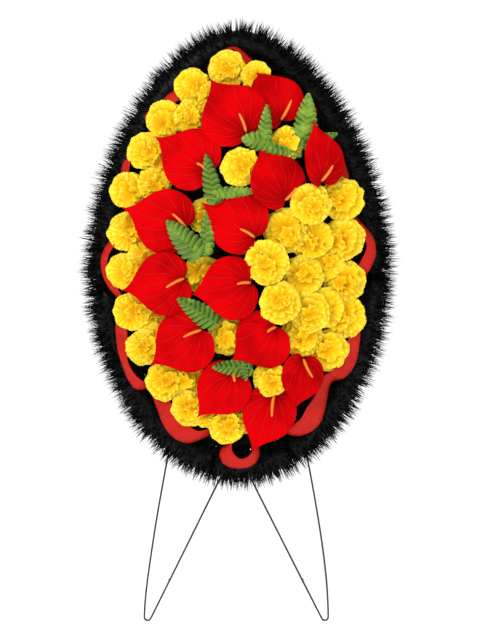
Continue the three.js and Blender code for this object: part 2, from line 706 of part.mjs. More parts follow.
// Carnations are bound in sprays. Each bloom is [x, v, radius, height over the bed,
// tuft's place towards x, tuft's place towards v], the last two as shares of the radius.
const CARNATION_SPRAYS = [
  [[-24, 1098, 37, 8, 0.1, -0.1], [34, 1084, 29, 14, -0.2, -0.2]],
  [
    [-94, 1064, 35, 4, 0.2, 0], [-54, 1044, 28, 8, 0, 0],
    [-96, 1002, 33, 6, 0.1, 0], [-148, 998, 37, 2, 0.35, 0],
  ],
  [[-186, 934, 37, 4, 0.25, 0.1], [-150, 918, 30, 2, 0, 0], [-168, 868, 33, 4, 0.2, 0]],
  [[-220, 856, 37, 2, 0.35, 0], [-224, 774, 38, 2, 0.3, 0]],
  [[-190, 724, 32, 0, 0.2, 0], [-228, 696, 36, 0, 0.4, 0]],
  [[-214, 616, 37, 2, 0.3, 0], [-172, 612, 28, 0, 0, 0]],
  [[-188, 544, 37, 2, 0.3, 0.1], [-156, 570, 27, 0, 0, 0]],
  [[-148, 476, 38, 4, 0.3, 0.1], [-104, 484, 32, 0, 0, 0]],
  [
    [-98, 424, 37, 4, 0.15, 0.15], [-62, 412, 24, 0, 0, 0],
    [-24, 390, 38, 4, 0.1, 0.2], [8, 400, 26, 0, 0, 0],
  ],
  [[-24, 566, 38, 4, 0.1, 0]],
  [[-70, 688, 38, 4, 0, 0]],
  [[-64, 804, 37, 6, 0, 0]],
  [[2, 900, 38, 41, 0.35, 0]],
  [[96, 948, 34, 26, 0, 0]],
  [[62, 482, 35, 16, 0, 0]],
  [[142, 828, 37, 28, 0.25, -0.1], [204, 838, 39, 10, -0.2, -0.05]],
  [[92, 776, 40, 14, 0, -0.2], [148, 754, 36, 8, -0.1, -0.1]],
  [[208, 760, 39, 6, -0.3, -0.2], [176, 712, 28, -2, 0, 0]],
  [[55, 711, 40, 34, 0, 0], [81, 632, 38, 34, 0, 0.1]],
  [[126, 686, 38, 12, 0, 0], [140, 614, 26, -6, 0, 0]],
  [[210, 674, 38, 4, -0.35, 0], [210, 604, 38, 2, -0.2, 0]],
  [[168, 622, 37, 6, 0, 0.2], [124, 568, 38, 4, 0, 0.1], [176, 538, 38, 2, -0.2, 0.1]],
];

function bloomCentre([x, v, , lift]) {
  return point(x, v, bedHeight(x, v) + lift);
}

/** The height under the blooms at a point of the bed, where a ribbon can still pass. */
function bloomCeiling(x, v) {
  let ceiling = Infinity;
  for (const head of CARNATION_SPRAYS.flat()) {
    const centre = bloomCentre(head);
    const share = Math.hypot(x - centre.x, v - centre.y) / head[2];
    if (share < BLOOM_UNDERSIDE.reach) {
      const sink = BLOOM_UNDERSIDE.rim + BLOOM_UNDERSIDE.calyx * Math.max(0, 1 - share);
      ceiling = Math.min(ceiling, centre.z - sink * head[2] - BLOOM_UNDERSIDE.room);
    }
  }
  return ceiling;
}

function bloom(head, grow = 0) {
  const [, , radius, , tuftX, tuftV] = head;
  const centre = bloomCentre(head);
  const rings = BLOOM_RINGS.map(([share, height, pleat, follow]) => {
    const ring = [];
    for (let side = 0; side < BLOOM_SIDES; side += 1) {
      const angle = (2 * Math.PI * side) / BLOOM_SIDES;
      const wave = side % 2 === 0 ? 1 : -1;
      const reach = radius * share * (1 + pleat * wave) + grow;
      const x = Math.cos(angle) * reach + tuftX * radius * follow;
      const v = Math.sin(angle) * reach + tuftV * radius * follow;
      const w = radius * (height + BLOOM_PLEAT_LIFT * pleat * wave) + grow * Math.sign(height);
      ring.push(centre.clone().add(point(x, v, w)));
    }
    return ring;
  });
  return solidOf(loft(rings));
}

/** A bloom cut back half-way to every bloom of another spray that it would press into. */
function pressedBloom(head, others, grow) {
  const centre = bloomCentre(head);
  let petals = bloom(head, grow);
  for (const other of others) {
    const away = bloomCentre(other).sub(centre);
    const distance = away.length();
    if (distance < head[2] + other[2] + BLOOM_NEAR) {
      const share = head[2] / (head[2] + other[2]);
      const normal = away.normalize();
      const limit = centre.dot(normal) + distance * share - GAP / 2;
      petals = petals.trimByPlane([-normal.x, -normal.y, -normal.z], -limit);
    }
  }
  return petals;
}

/** A spray: its blooms on straight stems, and the binding wire that runs from stem to stem. */
function spray(heads, otherHeads, grow = 0) {
  const bindingW = STEM_FOOT_W + BINDING_RADIUS;
  const parts = heads.map((head) => pressedBloom(head, otherHeads, grow));
  for (const head of heads) {
    const calyx = bloomCentre(head).z - BLOOM_STEM_END * head[2];
    const stem = [point(head[0], head[1], STEM_FOOT_W - grow), point(head[0], head[1], calyx)];
    parts.push(solidOf(rod(stem, STEM_RADIUS + grow, STEM_SIDES)));
  }
  for (let i = 1; i < heads.length; i += 1) {
    const [from, to] = [heads[i - 1], heads[i]];
    const ends = [point(from[0], from[1], bindingW), point(to[0], to[1], bindingW)];
    parts.push(solidOf(rod(ends, BINDING_RADIUS + grow, BINDING_SIDES)));
  }
  return joined(parts);
}

// ---------------------------------------------------------------- assembly

const object = new THREE.Group();
const wreath = new THREE.Group();
wreath.rotation.x = Math.PI / 2 - LEAN;
wreath.position.z = FLOOR_RISE;
object.add(wreath);

function addNode(parent, name, finishName, geometry) {
  geometry.deleteAttribute("uv");
  geometry.deleteAttribute("normal");
  const mesh = new THREE.Mesh(geometry, new THREE.MeshStandardMaterial(FINISHES[finishName]));
  mesh.name = name;
  parent.add(mesh);
}

/** A solid with its share below the floor taken off, so that its feet stand flat. */
function cutAtFloor(solid, leaning) {
  const up = leaning ? [0, Math.cos(LEAN), Math.sin(LEAN)] : [0, 0, 1];
  return solid.trimByPlane(up, leaning ? -FLOOR_RISE : 0);
}

function numbered(name, index) {
  return `${name}_${String(index + 1).padStart(2, "0")}`;
}

addNode(wreath, "needle_mat", "needle", needleMat());
addNode(wreath, "frame_hoop_left", "steel", hoopHalf(-1));
addNode(wreath, "frame_hoop_right", "steel", hoopHalf(1));
addNode(wreath, "frame_spine", "steel", spine());
for (const [place, height] of Object.entries(BAR_HEIGHTS)) {
  addNode(wreath, `frame_bar_${place}`, "steel", crossBar(height));
}
for (const [place, leg, side] of [["left", LEG_LEFT, -1], ["right", LEG_RIGHT, 1]]) {
  const wire = solidOf(rod(legPath(leg, side), WIRE_RADIUS, WIRE_SIDES));
  addNode(wreath, `stand_leg_${place}`, "steel", geometryOf(cutAtFloor(wire, true)));
}
const prop = solidOf(rod(rearPropPath(), WIRE_RADIUS, WIRE_SIDES));
addNode(object, "stand_rear_prop", "steel", geometryOf(cutAtFloor(prop, false)));

// What lies on top is whole; what it presses on is cut back to leave it room.
const placed = [];

function addPressed(name, finishName, solid, room) {
  let kept = solid;
  for (const above of placed) {
    if (boxesMeet(above, kept)) {
      kept = kept.subtract(above);
    }
  }
  placed.push(room);
  addNode(wreath, name, finishName, geometryOf(largestBody(kept)));
}

const byHeight = (a, b) => b.flower.lift + b.flower.tipRise - a.flower.lift - a.flower.tipRise;
const anthuriumOrder = ANTHURIUMS.map((flower, index) => ({ flower, index })).sort(byHeight);
for (const { flower, index } of anthuriumOrder) {
  addPressed(numbered("anthurium", index), "anthurium", anthurium(flower), anthurium(flower, GAP));
}
FERNS.forEach((sprig, index) => {
  addPressed(numbered("fern", index), "fern", fern(sprig), fern(sprig, GAP));
});
CARNATION_SPRAYS.forEach((heads, index) => {
  const others = CARNATION_SPRAYS.filter((each) => each !== heads).flat();
  const solid = spray(heads, others);
  addPressed(numbered("carnations", index), "carnation", solid, spray(heads, others, GAP));
});
for (const [place, stations] of Object.entries(RIBBONS)) {
  const solid = solidOf(ribbon(stations));
  addPressed(`ribbon_${place}`, "ribbon", solid, solid);
}
for (const [place, [fromDeg, toDeg, tufts]] of Object.entries(GARLAND_LENGTHS)) {
  const solid = solidOf(garland(fromDeg, toDeg, tufts));
  addPressed(`garland_${place}`, "bristle", solid, solid);
}

// The origin is under the middle of the wreath and its stand, on the floor.
object.updateMatrixWorld(true);
const extent = new THREE.Box3().setFromObject(object, true);
object.position.x = -(extent.min.x + extent.max.x) / 2;
object.position.y = -(extent.min.y + extent.max.y) / 2;
object.updateMatrixWorld(true);

export default object;
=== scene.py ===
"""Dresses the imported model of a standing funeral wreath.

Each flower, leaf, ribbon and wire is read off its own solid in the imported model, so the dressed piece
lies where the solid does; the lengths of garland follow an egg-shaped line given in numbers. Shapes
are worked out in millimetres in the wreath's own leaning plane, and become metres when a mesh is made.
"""

import logging
import math
from dataclasses import dataclass, field
from enum import Enum
from typing import Sequence

import bmesh
import bpy
import numpy as np
from mathutils import Matrix, Vector
from mathutils.bvhtree import BVHTree


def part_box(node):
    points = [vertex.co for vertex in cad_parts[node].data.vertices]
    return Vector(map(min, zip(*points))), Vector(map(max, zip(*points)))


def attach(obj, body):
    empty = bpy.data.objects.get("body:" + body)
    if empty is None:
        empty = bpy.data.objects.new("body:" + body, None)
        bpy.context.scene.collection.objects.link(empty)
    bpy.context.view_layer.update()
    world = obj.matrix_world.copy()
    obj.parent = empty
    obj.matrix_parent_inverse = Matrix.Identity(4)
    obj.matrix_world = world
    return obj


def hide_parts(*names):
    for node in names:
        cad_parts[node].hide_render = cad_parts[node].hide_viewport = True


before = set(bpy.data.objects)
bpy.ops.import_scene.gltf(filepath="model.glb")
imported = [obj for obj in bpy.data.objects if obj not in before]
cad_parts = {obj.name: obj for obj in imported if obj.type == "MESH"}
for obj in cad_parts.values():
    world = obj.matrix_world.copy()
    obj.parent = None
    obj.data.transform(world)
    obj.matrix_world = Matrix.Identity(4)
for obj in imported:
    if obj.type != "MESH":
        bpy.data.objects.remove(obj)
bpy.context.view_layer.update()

LOG = logging.getLogger("wreath")
MM = 0.001
BODY = "root"
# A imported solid's corners this close, in metres, are one: on wires and ribbons, and on the needle rows.
MERGE_DISTANCE = 2e-5
SEAM_DISTANCE = 1e-5

Colour = tuple[float, float, float]
Faces = list[tuple[int, ...]]


class Slot(str, Enum):
    """The material slots."""

    BRISTLE = "bristle"
    NEEDLE = "needle"
    STEEL = "steel"
    RIBBON = "ribbon"
    ANTHURIUM = "anthurium"
    CARNATION = "carnation"
    FERN = "fern"


# ---------------------------------------------------------------- the leaning plane


@dataclass(frozen=True)
class WreathPlane:
    """The wreath's own plane: x to the right, v up along it and w out of its face, in millimetres.

    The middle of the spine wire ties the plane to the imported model.
    """

    lean: float = math.radians(10)
    spine_middle_v: float = 729.0
    spine_w: float = -59.3

    def matrix(self) -> Matrix:
        """Returns: the matrix that takes plane millimetres to the model's metres."""
        low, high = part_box("frame_spine")
        middle = (Vector(low) + Vector(high)) / 2
        turn = Matrix.Rotation(math.pi / 2 - self.lean, 4, "X") @ Matrix.Scale(MM, 4)
        return Matrix.Translation(middle - turn @ Vector((0, self.spine_middle_v, self.spine_w))) @ turn

    def to_world(self, points: np.ndarray) -> np.ndarray:
        """Args: points: rows of (x, v, w). Returns: the same points in the model's frame, in metres."""
        matrix = np.array(self.matrix())
        return points @ matrix[:3, :3].T + matrix[:3, 3]

    def to_plane(self, points: np.ndarray) -> np.ndarray:
        """Args: points: rows of metres in the model's frame. Returns: the same points as (x, v, w)."""
        matrix = np.array(self.matrix().inverted())
        return points @ matrix[:3, :3].T + matrix[:3, 3]

    def solid(self, node: str) -> "Solid":
        """Args: node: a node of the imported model. Returns: its solid, in plane millimetres."""
        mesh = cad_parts[node].data
        places = np.zeros(len(mesh.vertices) * 3)
        mesh.vertices.foreach_get("co", places)
        mesh.calc_loop_triangles()
        triangles = np.zeros(len(mesh.loop_triangles) * 3, dtype=np.int32)
        mesh.loop_triangles.foreach_get("vertices", triangles)
        return Solid(node, self.to_plane(places.reshape(-1, 3)), triangles.reshape(-1, 3))


@dataclass(frozen=True)
class Solid:
    """A node's solid in the wreath's plane."""

    node: str
    corners: np.ndarray
    triangles: np.ndarray

    def points(self) -> np.ndarray:
        """Returns: each corner once."""
        return np.unique(np.round(self.corners, 2), axis=0)

    def stem_feet(self, reach: float = 7.0, level: float = 0.3) -> list[np.ndarray]:
        """Finds where the stems stand on the needle rows.

        Args:
            reach: two corners of the lowest level closer than this belong to one stem.
            level: how far over the lowest corner the lowest level goes.

        Returns:
            The middle of each stem's foot, as (x, v), in the order found.
        """
        points = self.points()
        low = points[points[:, 2] < points[:, 2].min() + level][:, :2]
        feet: list[list[np.ndarray]] = []
        for spot in low:
            near = [foot for foot in feet if np.linalg.norm(np.mean(foot, axis=0) - spot) < reach]
            if near:
                near[0].append(spot)
            else:
                feet.append([spot])
        return [(np.min(foot, axis=0) + np.max(foot, axis=0)) / 2 for foot in feet]

    def tree(self) -> BVHTree:
        """Returns: a search tree over the solid's faces."""
        return BVHTree.FromPolygons([Vector(c) for c in self.corners], [tuple(t) for t in self.triangles])


PLANE = WreathPlane()


def joined_tree(nodes: Sequence[str]) -> BVHTree:
    """Args: nodes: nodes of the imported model. Returns: one search tree over all their solids."""
    solids = [PLANE.solid(node) for node in nodes]
    starts = np.cumsum([0] + [len(solid.corners) for solid in solids])
    corners = np.concatenate([solid.corners for solid in solids])
    triangles = np.concatenate([solid.triangles + start for solid, start in zip(solids, starts)])
    return BVHTree.FromPolygons([Vector(c) for c in corners], [tuple(t) for t in triangles.tolist()])


# ---------------------------------------------------------------- meshes


@dataclass
class MeshParts:
    """Vertices and faces gathered for one piece, with its finishes and its numbers at each vertex."""

    vertices: list[np.ndarray] = field(default_factory=list)
    faces: Faces = field(default_factory=list)
    face_finishes: list[int] = field(default_factory=list)
    numbers: dict[str, list[np.ndarray]] = field(default_factory=dict)
    count: int = 0

    def add(
        self,
        vertices: np.ndarray,
        faces: Sequence[tuple[int, ...]],
        finish: int = 0,
        **numbers: np.ndarray,
    ) -> None:
        """Adds a closed shell.

        Args:
            vertices: its corners, in plane millimetres.
            faces: its faces, as indices into those corners.
            finish: the index of its material on the piece.
            numbers: a value at each corner for each named attribute.
        """
        for name, values in numbers.items():
            held = self.numbers.setdefault(name, [np.zeros(self.count)])
            missing = self.count - sum(len(block) for block in held)
            held.extend([np.zeros(missing), np.asarray(values, dtype=float)])
        self.vertices.append(vertices)
        self.faces.extend(tuple(i + self.count for i in face) for face in faces)
        self.face_finishes.extend([finish] * len(faces))
        self.count += len(vertices)

    def to_object(
        self, name: str, materials: Sequence[bpy.types.Material], smooth: bool = True
    ) -> bpy.types.Object:
        """Makes the Blender object, with its place in its mesh.

        Args:
            name: the piece's name.
            materials: its finishes, in the order of their indices.
            smooth: whether its faces are shaded smooth.

        Returns:
            The object, linked to the scene.
        """
        mesh = bpy.data.meshes.new(name)
        mesh.from_pydata(PLANE.to_world(np.concatenate(self.vertices)).tolist(), [], self.faces)
        for attribute, blocks in self.numbers.items():
            values = np.concatenate(blocks)
            full = np.zeros(self.count)
            full[: len(values)] = values
            mesh.attributes.new(attribute, "FLOAT", "POINT").data.foreach_set("value", full)
        for material in materials:
            mesh.materials.append(material)
        mesh.polygons.foreach_set("material_index", self.face_finishes)
        mesh.polygons.foreach_set("use_smooth", [smooth] * len(self.faces))
        mesh.update()
        face_outwards(mesh)
        made = bpy.data.objects.new(name, mesh)
        bpy.context.scene.collection.objects.link(made)
        return made


def face_outwards(mesh: bpy.types.Mesh) -> None:
    """Args: mesh: the closed mesh whose faces are turned to point outwards."""
    work = bmesh.new()
    work.from_mesh(mesh)
    bmesh.ops.recalc_face_normals(work, faces=work.faces)
    work.to_mesh(mesh)
    work.free()


def ring_faces(rings: int, sides: int) -> Faces:
    """Faces of a closed tube through rings of points, with a flat face at each end.

    Args:
        rings: how many rings there are.
        sides: how many points each ring has.

    Returns:
        The faces, as indices in ring order.
    """
    faces: Faces = []
    for ring in range(rings - 1):
        for side in range(sides):
            a, b = ring * sides + side, ring * sides + (side + 1) % sides
            faces.append((a, b, b + sides, a + sides))
    faces.append(tuple(reversed(range(sides))))
    faces.append(tuple((rings - 1) * sides + side for side in range(sides)))
    return faces


def disc_faces(rings: int, sides: int) -> Faces:
    """Faces of a thin sheet: a hub and rings of points above, the same below, and the edge between.

    Args:
        rings: how many rings there are on each face.
        sides: how many points each ring has.

    Returns:
        The faces, as indices into the upper hub and rings and then the lower ones.
    """
    under = 1 + rings * sides
    last = 1 + (rings - 1) * sides
    faces: Faces = []
    for column in range(sides):
        near = (column + 1) % sides
        faces.append((0, 1 + column, 1 + near))
        faces.append((under, under + 1 + near, under + 1 + column))
        for start in range(1, last, sides):
            a, b = start + column, start + near
            faces.append((a, a + sides, b + sides, b))
            faces.append((under + a, under + b, under + b + sides, under + a + sides))
        faces.append((last + column, under + last + column, under + last + near, last + near))
    return faces


# A direction that no bar of the wreath runs along.
SKEW = (0.31, 0.52, 0.8)


def tube(points: np.ndarray, radii: Sequence[float], sides: int) -> tuple[np.ndarray, Faces]:
    """A round bar of changing radius along a line of points.

    Args:
        points: the line, as rows of (x, v, w).
        radii: the radius at each point.
        sides: how many sides the bar has.

    Returns:
        Its corners and its faces.
    """
    tangents = np.gradient(points, axis=0)
    tangents /= np.linalg.norm(tangents, axis=1)[:, None]
    normal = np.cross(tangents[0], SKEW)
    rings = []
    for place, tangent, radius in zip(points, tangents, radii):
        normal = normal - tangent * normal.dot(tangent)
        normal /= np.linalg.norm(normal)
        other = np.cross(tangent, normal)
        turn = np.linspace(0, 2 * math.pi, sides, endpoint=False)[:, None]
        rings.append(place + radius * (np.cos(turn) * normal + np.sin(turn) * other))
    return np.concatenate(rings), ring_faces(len(points), sides)


def settle(piece: bpy.types.Object, slot: Slot, *nodes: str) -> bpy.types.Object:
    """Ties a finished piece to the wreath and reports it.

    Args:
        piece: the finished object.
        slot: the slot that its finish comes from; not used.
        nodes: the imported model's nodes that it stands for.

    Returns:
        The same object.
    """
    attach(piece, BODY)
    if nodes:
        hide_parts(*nodes)
    LOG.info("%s: %d faces", piece.name, len(piece.data.polygons))
    return piece


# Two triangles of a solid are joined to one face up to these angles: their bend, and their skew.
JOIN_BEND = math.radians(30)
JOIN_SKEW = math.radians(80)


def rounded_copy(
    node: str, name: str, levels: int, crease_above: float | None, inflate: float
) -> bpy.types.Object:
    """A smooth copy of a faceted solid.

    Args:
        node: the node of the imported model.
        name: the new piece's name.
        levels: how many times its faces are divided.
        crease_above: edges that bend more than this angle stay sharp, or None for no sharp edge.
        inflate: how far its skin is moved out again after smoothing has drawn it in, in metres.

    Returns:
        The new object, with no modifier on it.
    """
    work = bmesh.new()
    work.from_mesh(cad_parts[node].data)
    bmesh.ops.remove_doubles(work, verts=work.verts, dist=MERGE_DISTANCE)
    bmesh.ops.dissolve_degenerate(work, edges=work.edges, dist=MERGE_DISTANCE)
    bmesh.ops.join_triangles(
        work, faces=work.faces, angle_face_threshold=JOIN_BEND, angle_shape_threshold=JOIN_SKEW
    )
    if crease_above is not None:
        crease = work.edges.layers.float.new("crease_edge")
        for edge in work.edges:
            if len(edge.link_faces) == 2 and edge.calc_face_angle(0) > crease_above:
                edge[crease] = 1.0
    mesh = bpy.data.meshes.new(name + "_cage")
    work.to_mesh(mesh)
    work.free()
    cage = bpy.data.objects.new(name + "_cage", mesh)
    bpy.context.scene.collection.objects.link(cage)
    smooth = cage.modifiers.new("smooth", "SUBSURF")
    smooth.levels = smooth.render_levels = levels
    made = plain_mesh(cage, name)
    places = np.zeros(len(made.data.vertices) * 3)
    normals = np.zeros(len(made.data.vertices) * 3)
    made.data.vertices.foreach_get("co", places)
    made.data.vertices.foreach_get("normal", normals)
    made.data.vertices.foreach_set("co", places + normals * inflate)
    made.data.polygons.foreach_set("use_smooth", [True] * len(made.data.polygons))
    made.data.update()
    return made


def plain_mesh(source: bpy.types.Object, name: str) -> bpy.types.Object:
    """Turns an object with live modifiers into a plain mesh object, and removes the source.

    Args:
        source: the object with the modifiers.
        name: the new object's name.

    Returns:
        The new object, linked to the scene.
    """
    bpy.context.view_layer.update()
    seen = bpy.context.evaluated_depsgraph_get()
    result = source.evaluated_get(seen)
    mesh = bpy.data.meshes.new_from_object(result, preserve_all_data_layers=True, depsgraph=seen)
    mesh.name = name
    made = bpy.data.objects.new(name, mesh)
    bpy.context.scene.collection.objects.link(made)
    bpy.data.objects.remove(source)
    return made


# ---------------------------------------------------------------- finishes


@dataclass
class ShaderSheet:
    """A new material and short ways to wire its nodes."""

    name: str

    def __post_init__(self) -> None:
        """Makes the material and finds its shader."""
        self.material = bpy.data.materials.new(self.name)
        self.material.use_nodes = True
        self.tree = self.material.node_tree
        self.shader = self.tree.nodes["Principled BSDF"]

    def node(self, kind: str, **values: object) -> bpy.types.Node:
        """Args: kind: the node's type. values: its inputs by name. Returns: the new node."""
        made = self.tree.nodes.new(kind)
        for key, value in values.items():
            made.inputs[key.replace("_", " ")].default_value = value
        return made

    def link(self, source: bpy.types.NodeSocket, target: bpy.types.NodeSocket) -> None:
        """Args: source: an output. target: the input it feeds."""
        self.tree.links.new(source, target)

    def attribute(self, name: str) -> bpy.types.NodeSocket:
        """Args: name: a vertex attribute. Returns: its value."""
        made = self.tree.nodes.new("ShaderNodeAttribute")
        made.attribute_name = name
        return made.outputs["Fac"]

    def ramp(
        self, source: bpy.types.NodeSocket, stops: Sequence[tuple[float, Sequence[float]]]
    ) -> bpy.types.NodeSocket:
        """Args: source: a number. stops: places and colours. Returns: the colour."""
        made = self.tree.nodes.new("ShaderNodeValToRGB")
        elements = made.color_ramp.elements
        while len(elements) < len(stops):
            elements.new(0.5)
        for element, (place, colour) in zip(elements, stops):
            element.position = place
            element.color = (*colour, 1)
        self.link(source, made.inputs["Fac"])
        return made.outputs["Color"]

    def fade(self, source: bpy.types.NodeSocket, start: float, stop: float) -> bpy.types.NodeSocket:
        """Args: source: a number. start, stop: where it turns from one to none. Returns: the share."""
        return self.ramp(source, [(start, (1, 1, 1)), (stop, (0, 0, 0))])

    def spread(self, source: bpy.types.NodeSocket, middle: float, share: float) -> bpy.types.NodeSocket:
        """Args: source: a number. middle: what becomes zero. share: its scale. Returns: the result."""
        return self.math("MULTIPLY", self.math("SUBTRACT", source, middle), share)

    def noise(self, scale: float, detail: float = 2) -> bpy.types.NodeSocket:
        """Args: scale: lumps to the metre. detail: its fineness. Returns: a number over the object."""
        place = self.tree.nodes.new("ShaderNodeTexCoord")
        made = self.node("ShaderNodeTexNoise", Scale=scale, Detail=detail)
        self.link(place.outputs["Object"], made.inputs["Vector"])
        return made.outputs["Fac"]

    def math(self, how: str, first: object, second: object) -> bpy.types.NodeSocket:
        """Args: how: the operation. first, second: sockets or numbers. Returns: the result."""
        made = self.tree.nodes.new("ShaderNodeMath")
        made.operation = how
        for place, value in enumerate((first, second)):
            if isinstance(value, bpy.types.NodeSocket):
                self.link(value, made.inputs[place])
            else:
                made.inputs[place].default_value = value
        return made.outputs[0]

    def mix(self, share: bpy.types.NodeSocket, first: object, second: object) -> bpy.types.NodeSocket:
        """Args: share: how much of the second. first, second: colours or sockets. Returns: the mix."""
        made = self.tree.nodes.new("ShaderNodeMix")
        made.data_type = "RGBA"
        self.link(share, made.inputs["Factor"])
        for socket, value in ((made.inputs[6], first), (made.inputs[7], second)):
            if isinstance(value, bpy.types.NodeSocket):
                self.link(value, socket)
            else:
                socket.default_value = (*value, 1)
        return made.outputs[2]

    def streaks(
        self, first: object, second: object, along: bpy.types.NodeSocket, fine: float, coarse: float
    ) -> bpy.types.NodeSocket:
        """Makes lines that run outwards from a stem.

        Args:
            first, second: numbers or sockets that tell the bearing.
            along: the distance from the stem.
            fine: how many lumps there are across the lines.
            coarse: how many there are along them.

        Returns:
            A number over the surface.
        """
        place = self.tree.nodes.new("ShaderNodeCombineXYZ")
        self.link(self.math("MULTIPLY", first, fine), place.inputs["X"])
        self.link(self.math("MULTIPLY", second, fine), place.inputs["Y"])
        self.link(self.math("MULTIPLY", along, coarse), place.inputs["Z"])
        made = self.node("ShaderNodeTexNoise", Scale=1.0, Detail=2.0)
        self.link(place.outputs["Vector"], made.inputs["Vector"])
        return made.outputs["Fac"]

    def surface(self, roughness: float, specular: float) -> None:
        """Args: roughness: how matt it is. specular: how strongly it mirrors."""
        self.shader.inputs["Roughness"].default_value = roughness
        self.shader.inputs["Specular IOR Level"].default_value = specular

    def bump(self, height: bpy.types.NodeSocket, strength: float, distance: float) -> None:
        """Args: height: the relief. strength: its share. distance: its depth in metres."""
        made = self.node("ShaderNodeBump", Strength=strength, Distance=distance)
        self.link(height, made.inputs["Height"])
        self.link(made.outputs["Normal"], self.shader.inputs["Normal"])


@dataclass(frozen=True)
class BristleFinish:
    """Cut black foil: nearly black, with a grey-green glint on the palest bristles."""

    name: str
    dark: Colour
    pale: Colour
    roughness: float
    specular: float = 0.15
    pale_from: float = 0.75

    def material(self) -> bpy.types.Material:
        """Returns: the material, which reads each bristle's shade."""
        sheet = ShaderSheet(self.name)
        stops = [(0.0, self.dark), (self.pale_from, self.dark), (1.0, self.pale)]
        sheet.link(sheet.ramp(sheet.attribute("shade"), stops), sheet.shader.inputs["Base Color"])
        sheet.surface(self.roughness, self.specular)
        return sheet.material


@dataclass(frozen=True)
class PetalFinish:
    """Thin pleated cloth: yellow outside and pale along the cut rims, with painted shade that turns it
    orange towards the middle and deep in the folds, painted light on the folds' crests, and painted light
    and dark streaks along the pleats.
    """

    name: str
    # The orange of the painted shade in the middle and in the hollows of the folds.
    deep: Colour
    middle: Colour
    outer: Colour
    rim: Colour
    stops: tuple[float, ...] = (0.18, 0.46, 0.76, 1.0)
    streaks_round: float = 13.0
    streaks_out: float = 0.8
    streak_shade_share: float = 0.8
    fold_shading_share: float = 0.14
    roughness: float = 0.85
    specular: float = 0.12
    grain: float = 0.4
    grain_depth: float = 0.001

    def material(self) -> bpy.types.Material:
        """Returns: the material, which reads the place on the petal and the height of the fold."""
        sheet = ShaderSheet(self.name)
        reach, spokes = sheet.attribute("reach"), (sheet.attribute("spoke_x"), sheet.attribute("spoke_y"))
        streak = sheet.streaks(*spokes, reach, self.streaks_round, self.streaks_out)
        # The fold's height and the streaks move the colour: painted shade in the hollows, painted light on
        # the crests and along the pleats.
        place = sheet.math("ADD", reach, sheet.math("MULTIPLY", sheet.attribute("fold"), self.fold_shading_share))
        place = sheet.math("ADD", place, sheet.spread(streak, 0.5, self.streak_shade_share))
        colours = (self.deep, self.middle, self.outer, self.rim)
        sheet.link(sheet.ramp(place, list(zip(self.stops, colours))), sheet.shader.inputs["Base Color"])
        sheet.surface(self.roughness, self.specular)
        sheet.bump(streak, self.grain, self.grain_depth)
        return sheet.material


@dataclass(frozen=True)
class SpatheFinish:
    """Flocked cloth pressed with veins: saturated red, with painted shade beside the veins, in soft patches
    and streaks and round the stem at the heart, and a painted highlight along the veins.
    """

    name: str
    red: Colour
    # The colour of the painted highlight along the veins.
    ridge: Colour
    # The colour of the painted shade beside the veins, in the patches and at the heart.
    painted_shade: Colour
    vein_spacing: float
    vein_width: float = 0.012
    vein_highlight_strength: float = 0.75
    vein_shade_fineness: float = 0.3
    vein_shade_strength: float = 0.2
    streaks_across: float = 15.0
    streaks_out: float = 4.0
    streak_middle: float = 0.36
    streak_shade_share: float = 0.8
    shade_patch_scale: float = 13
    shade_patch_middle: float = 0.44
    shade_patch_share: float = 3.2
    heart_shadow_reach: float = 0.3
    heart_shadow_strength: float = 0.85
    roughness: float = 0.7
    specular: float = 0.02
    ridge_relief: float = 0.3
    relief: float = 0.9
    relief_depth: float = 0.002

    def material(self) -> bpy.types.Material:
        """Returns: the material, which reads the bearing round the stem and the distance from it."""
        sheet = ShaderSheet(self.name)
        reach, bearing = sheet.attribute("reach"), sheet.attribute("bearing")
        across = sheet.math("PINGPONG", bearing, self.vein_spacing / 2)
        away = sheet.math("DIVIDE", sheet.math("MULTIPLY", across, reach), self.vein_width)
        # The line of each vein, which carries the painted highlight and the raised bump.
        ridge = sheet.fade(away, 0.0, 0.9)
        # A wider band of painted shade beside each vein.
        painted_shade = sheet.fade(sheet.math("MULTIPLY", away, self.vein_shade_fineness), 0.12, 0.95)
        streak = sheet.streaks(bearing, 0.0, reach, self.streaks_across, self.streaks_out)
        # Painted shade in streaks and soft patches over the spathe.
        uneven = sheet.spread(streak, self.streak_middle, self.streak_shade_share)
        shade_patch = sheet.spread(sheet.noise(self.shade_patch_scale), self.shade_patch_middle, self.shade_patch_share)
        patch_shaded = sheet.mix(sheet.math("ADD", uneven, shade_patch), self.red, self.painted_shade)
        vein_shaded = sheet.mix(sheet.math("MULTIPLY", painted_shade, self.vein_shade_strength), patch_shaded, self.painted_shade)
        # The painted highlight along the veins, fading in and out along them.
        shown = sheet.math("MULTIPLY", ridge, sheet.math("MULTIPLY", streak, self.vein_highlight_strength))
        vein_lit = sheet.mix(shown, vein_shaded, self.ridge)
        # A painted shadow round the stem at the heart.
        near = sheet.fade(reach, 0.0, self.heart_shadow_reach)
        colour = sheet.mix(sheet.math("MULTIPLY", near, self.heart_shadow_strength), vein_lit, self.painted_shade)
        sheet.link(colour, sheet.shader.inputs["Base Color"])
        sheet.surface(self.roughness, self.specular)
        height = sheet.math("ADD", sheet.math("MULTIPLY", ridge, self.ridge_relief), streak)
        sheet.bump(height, self.relief, self.relief_depth)
        return sheet.material


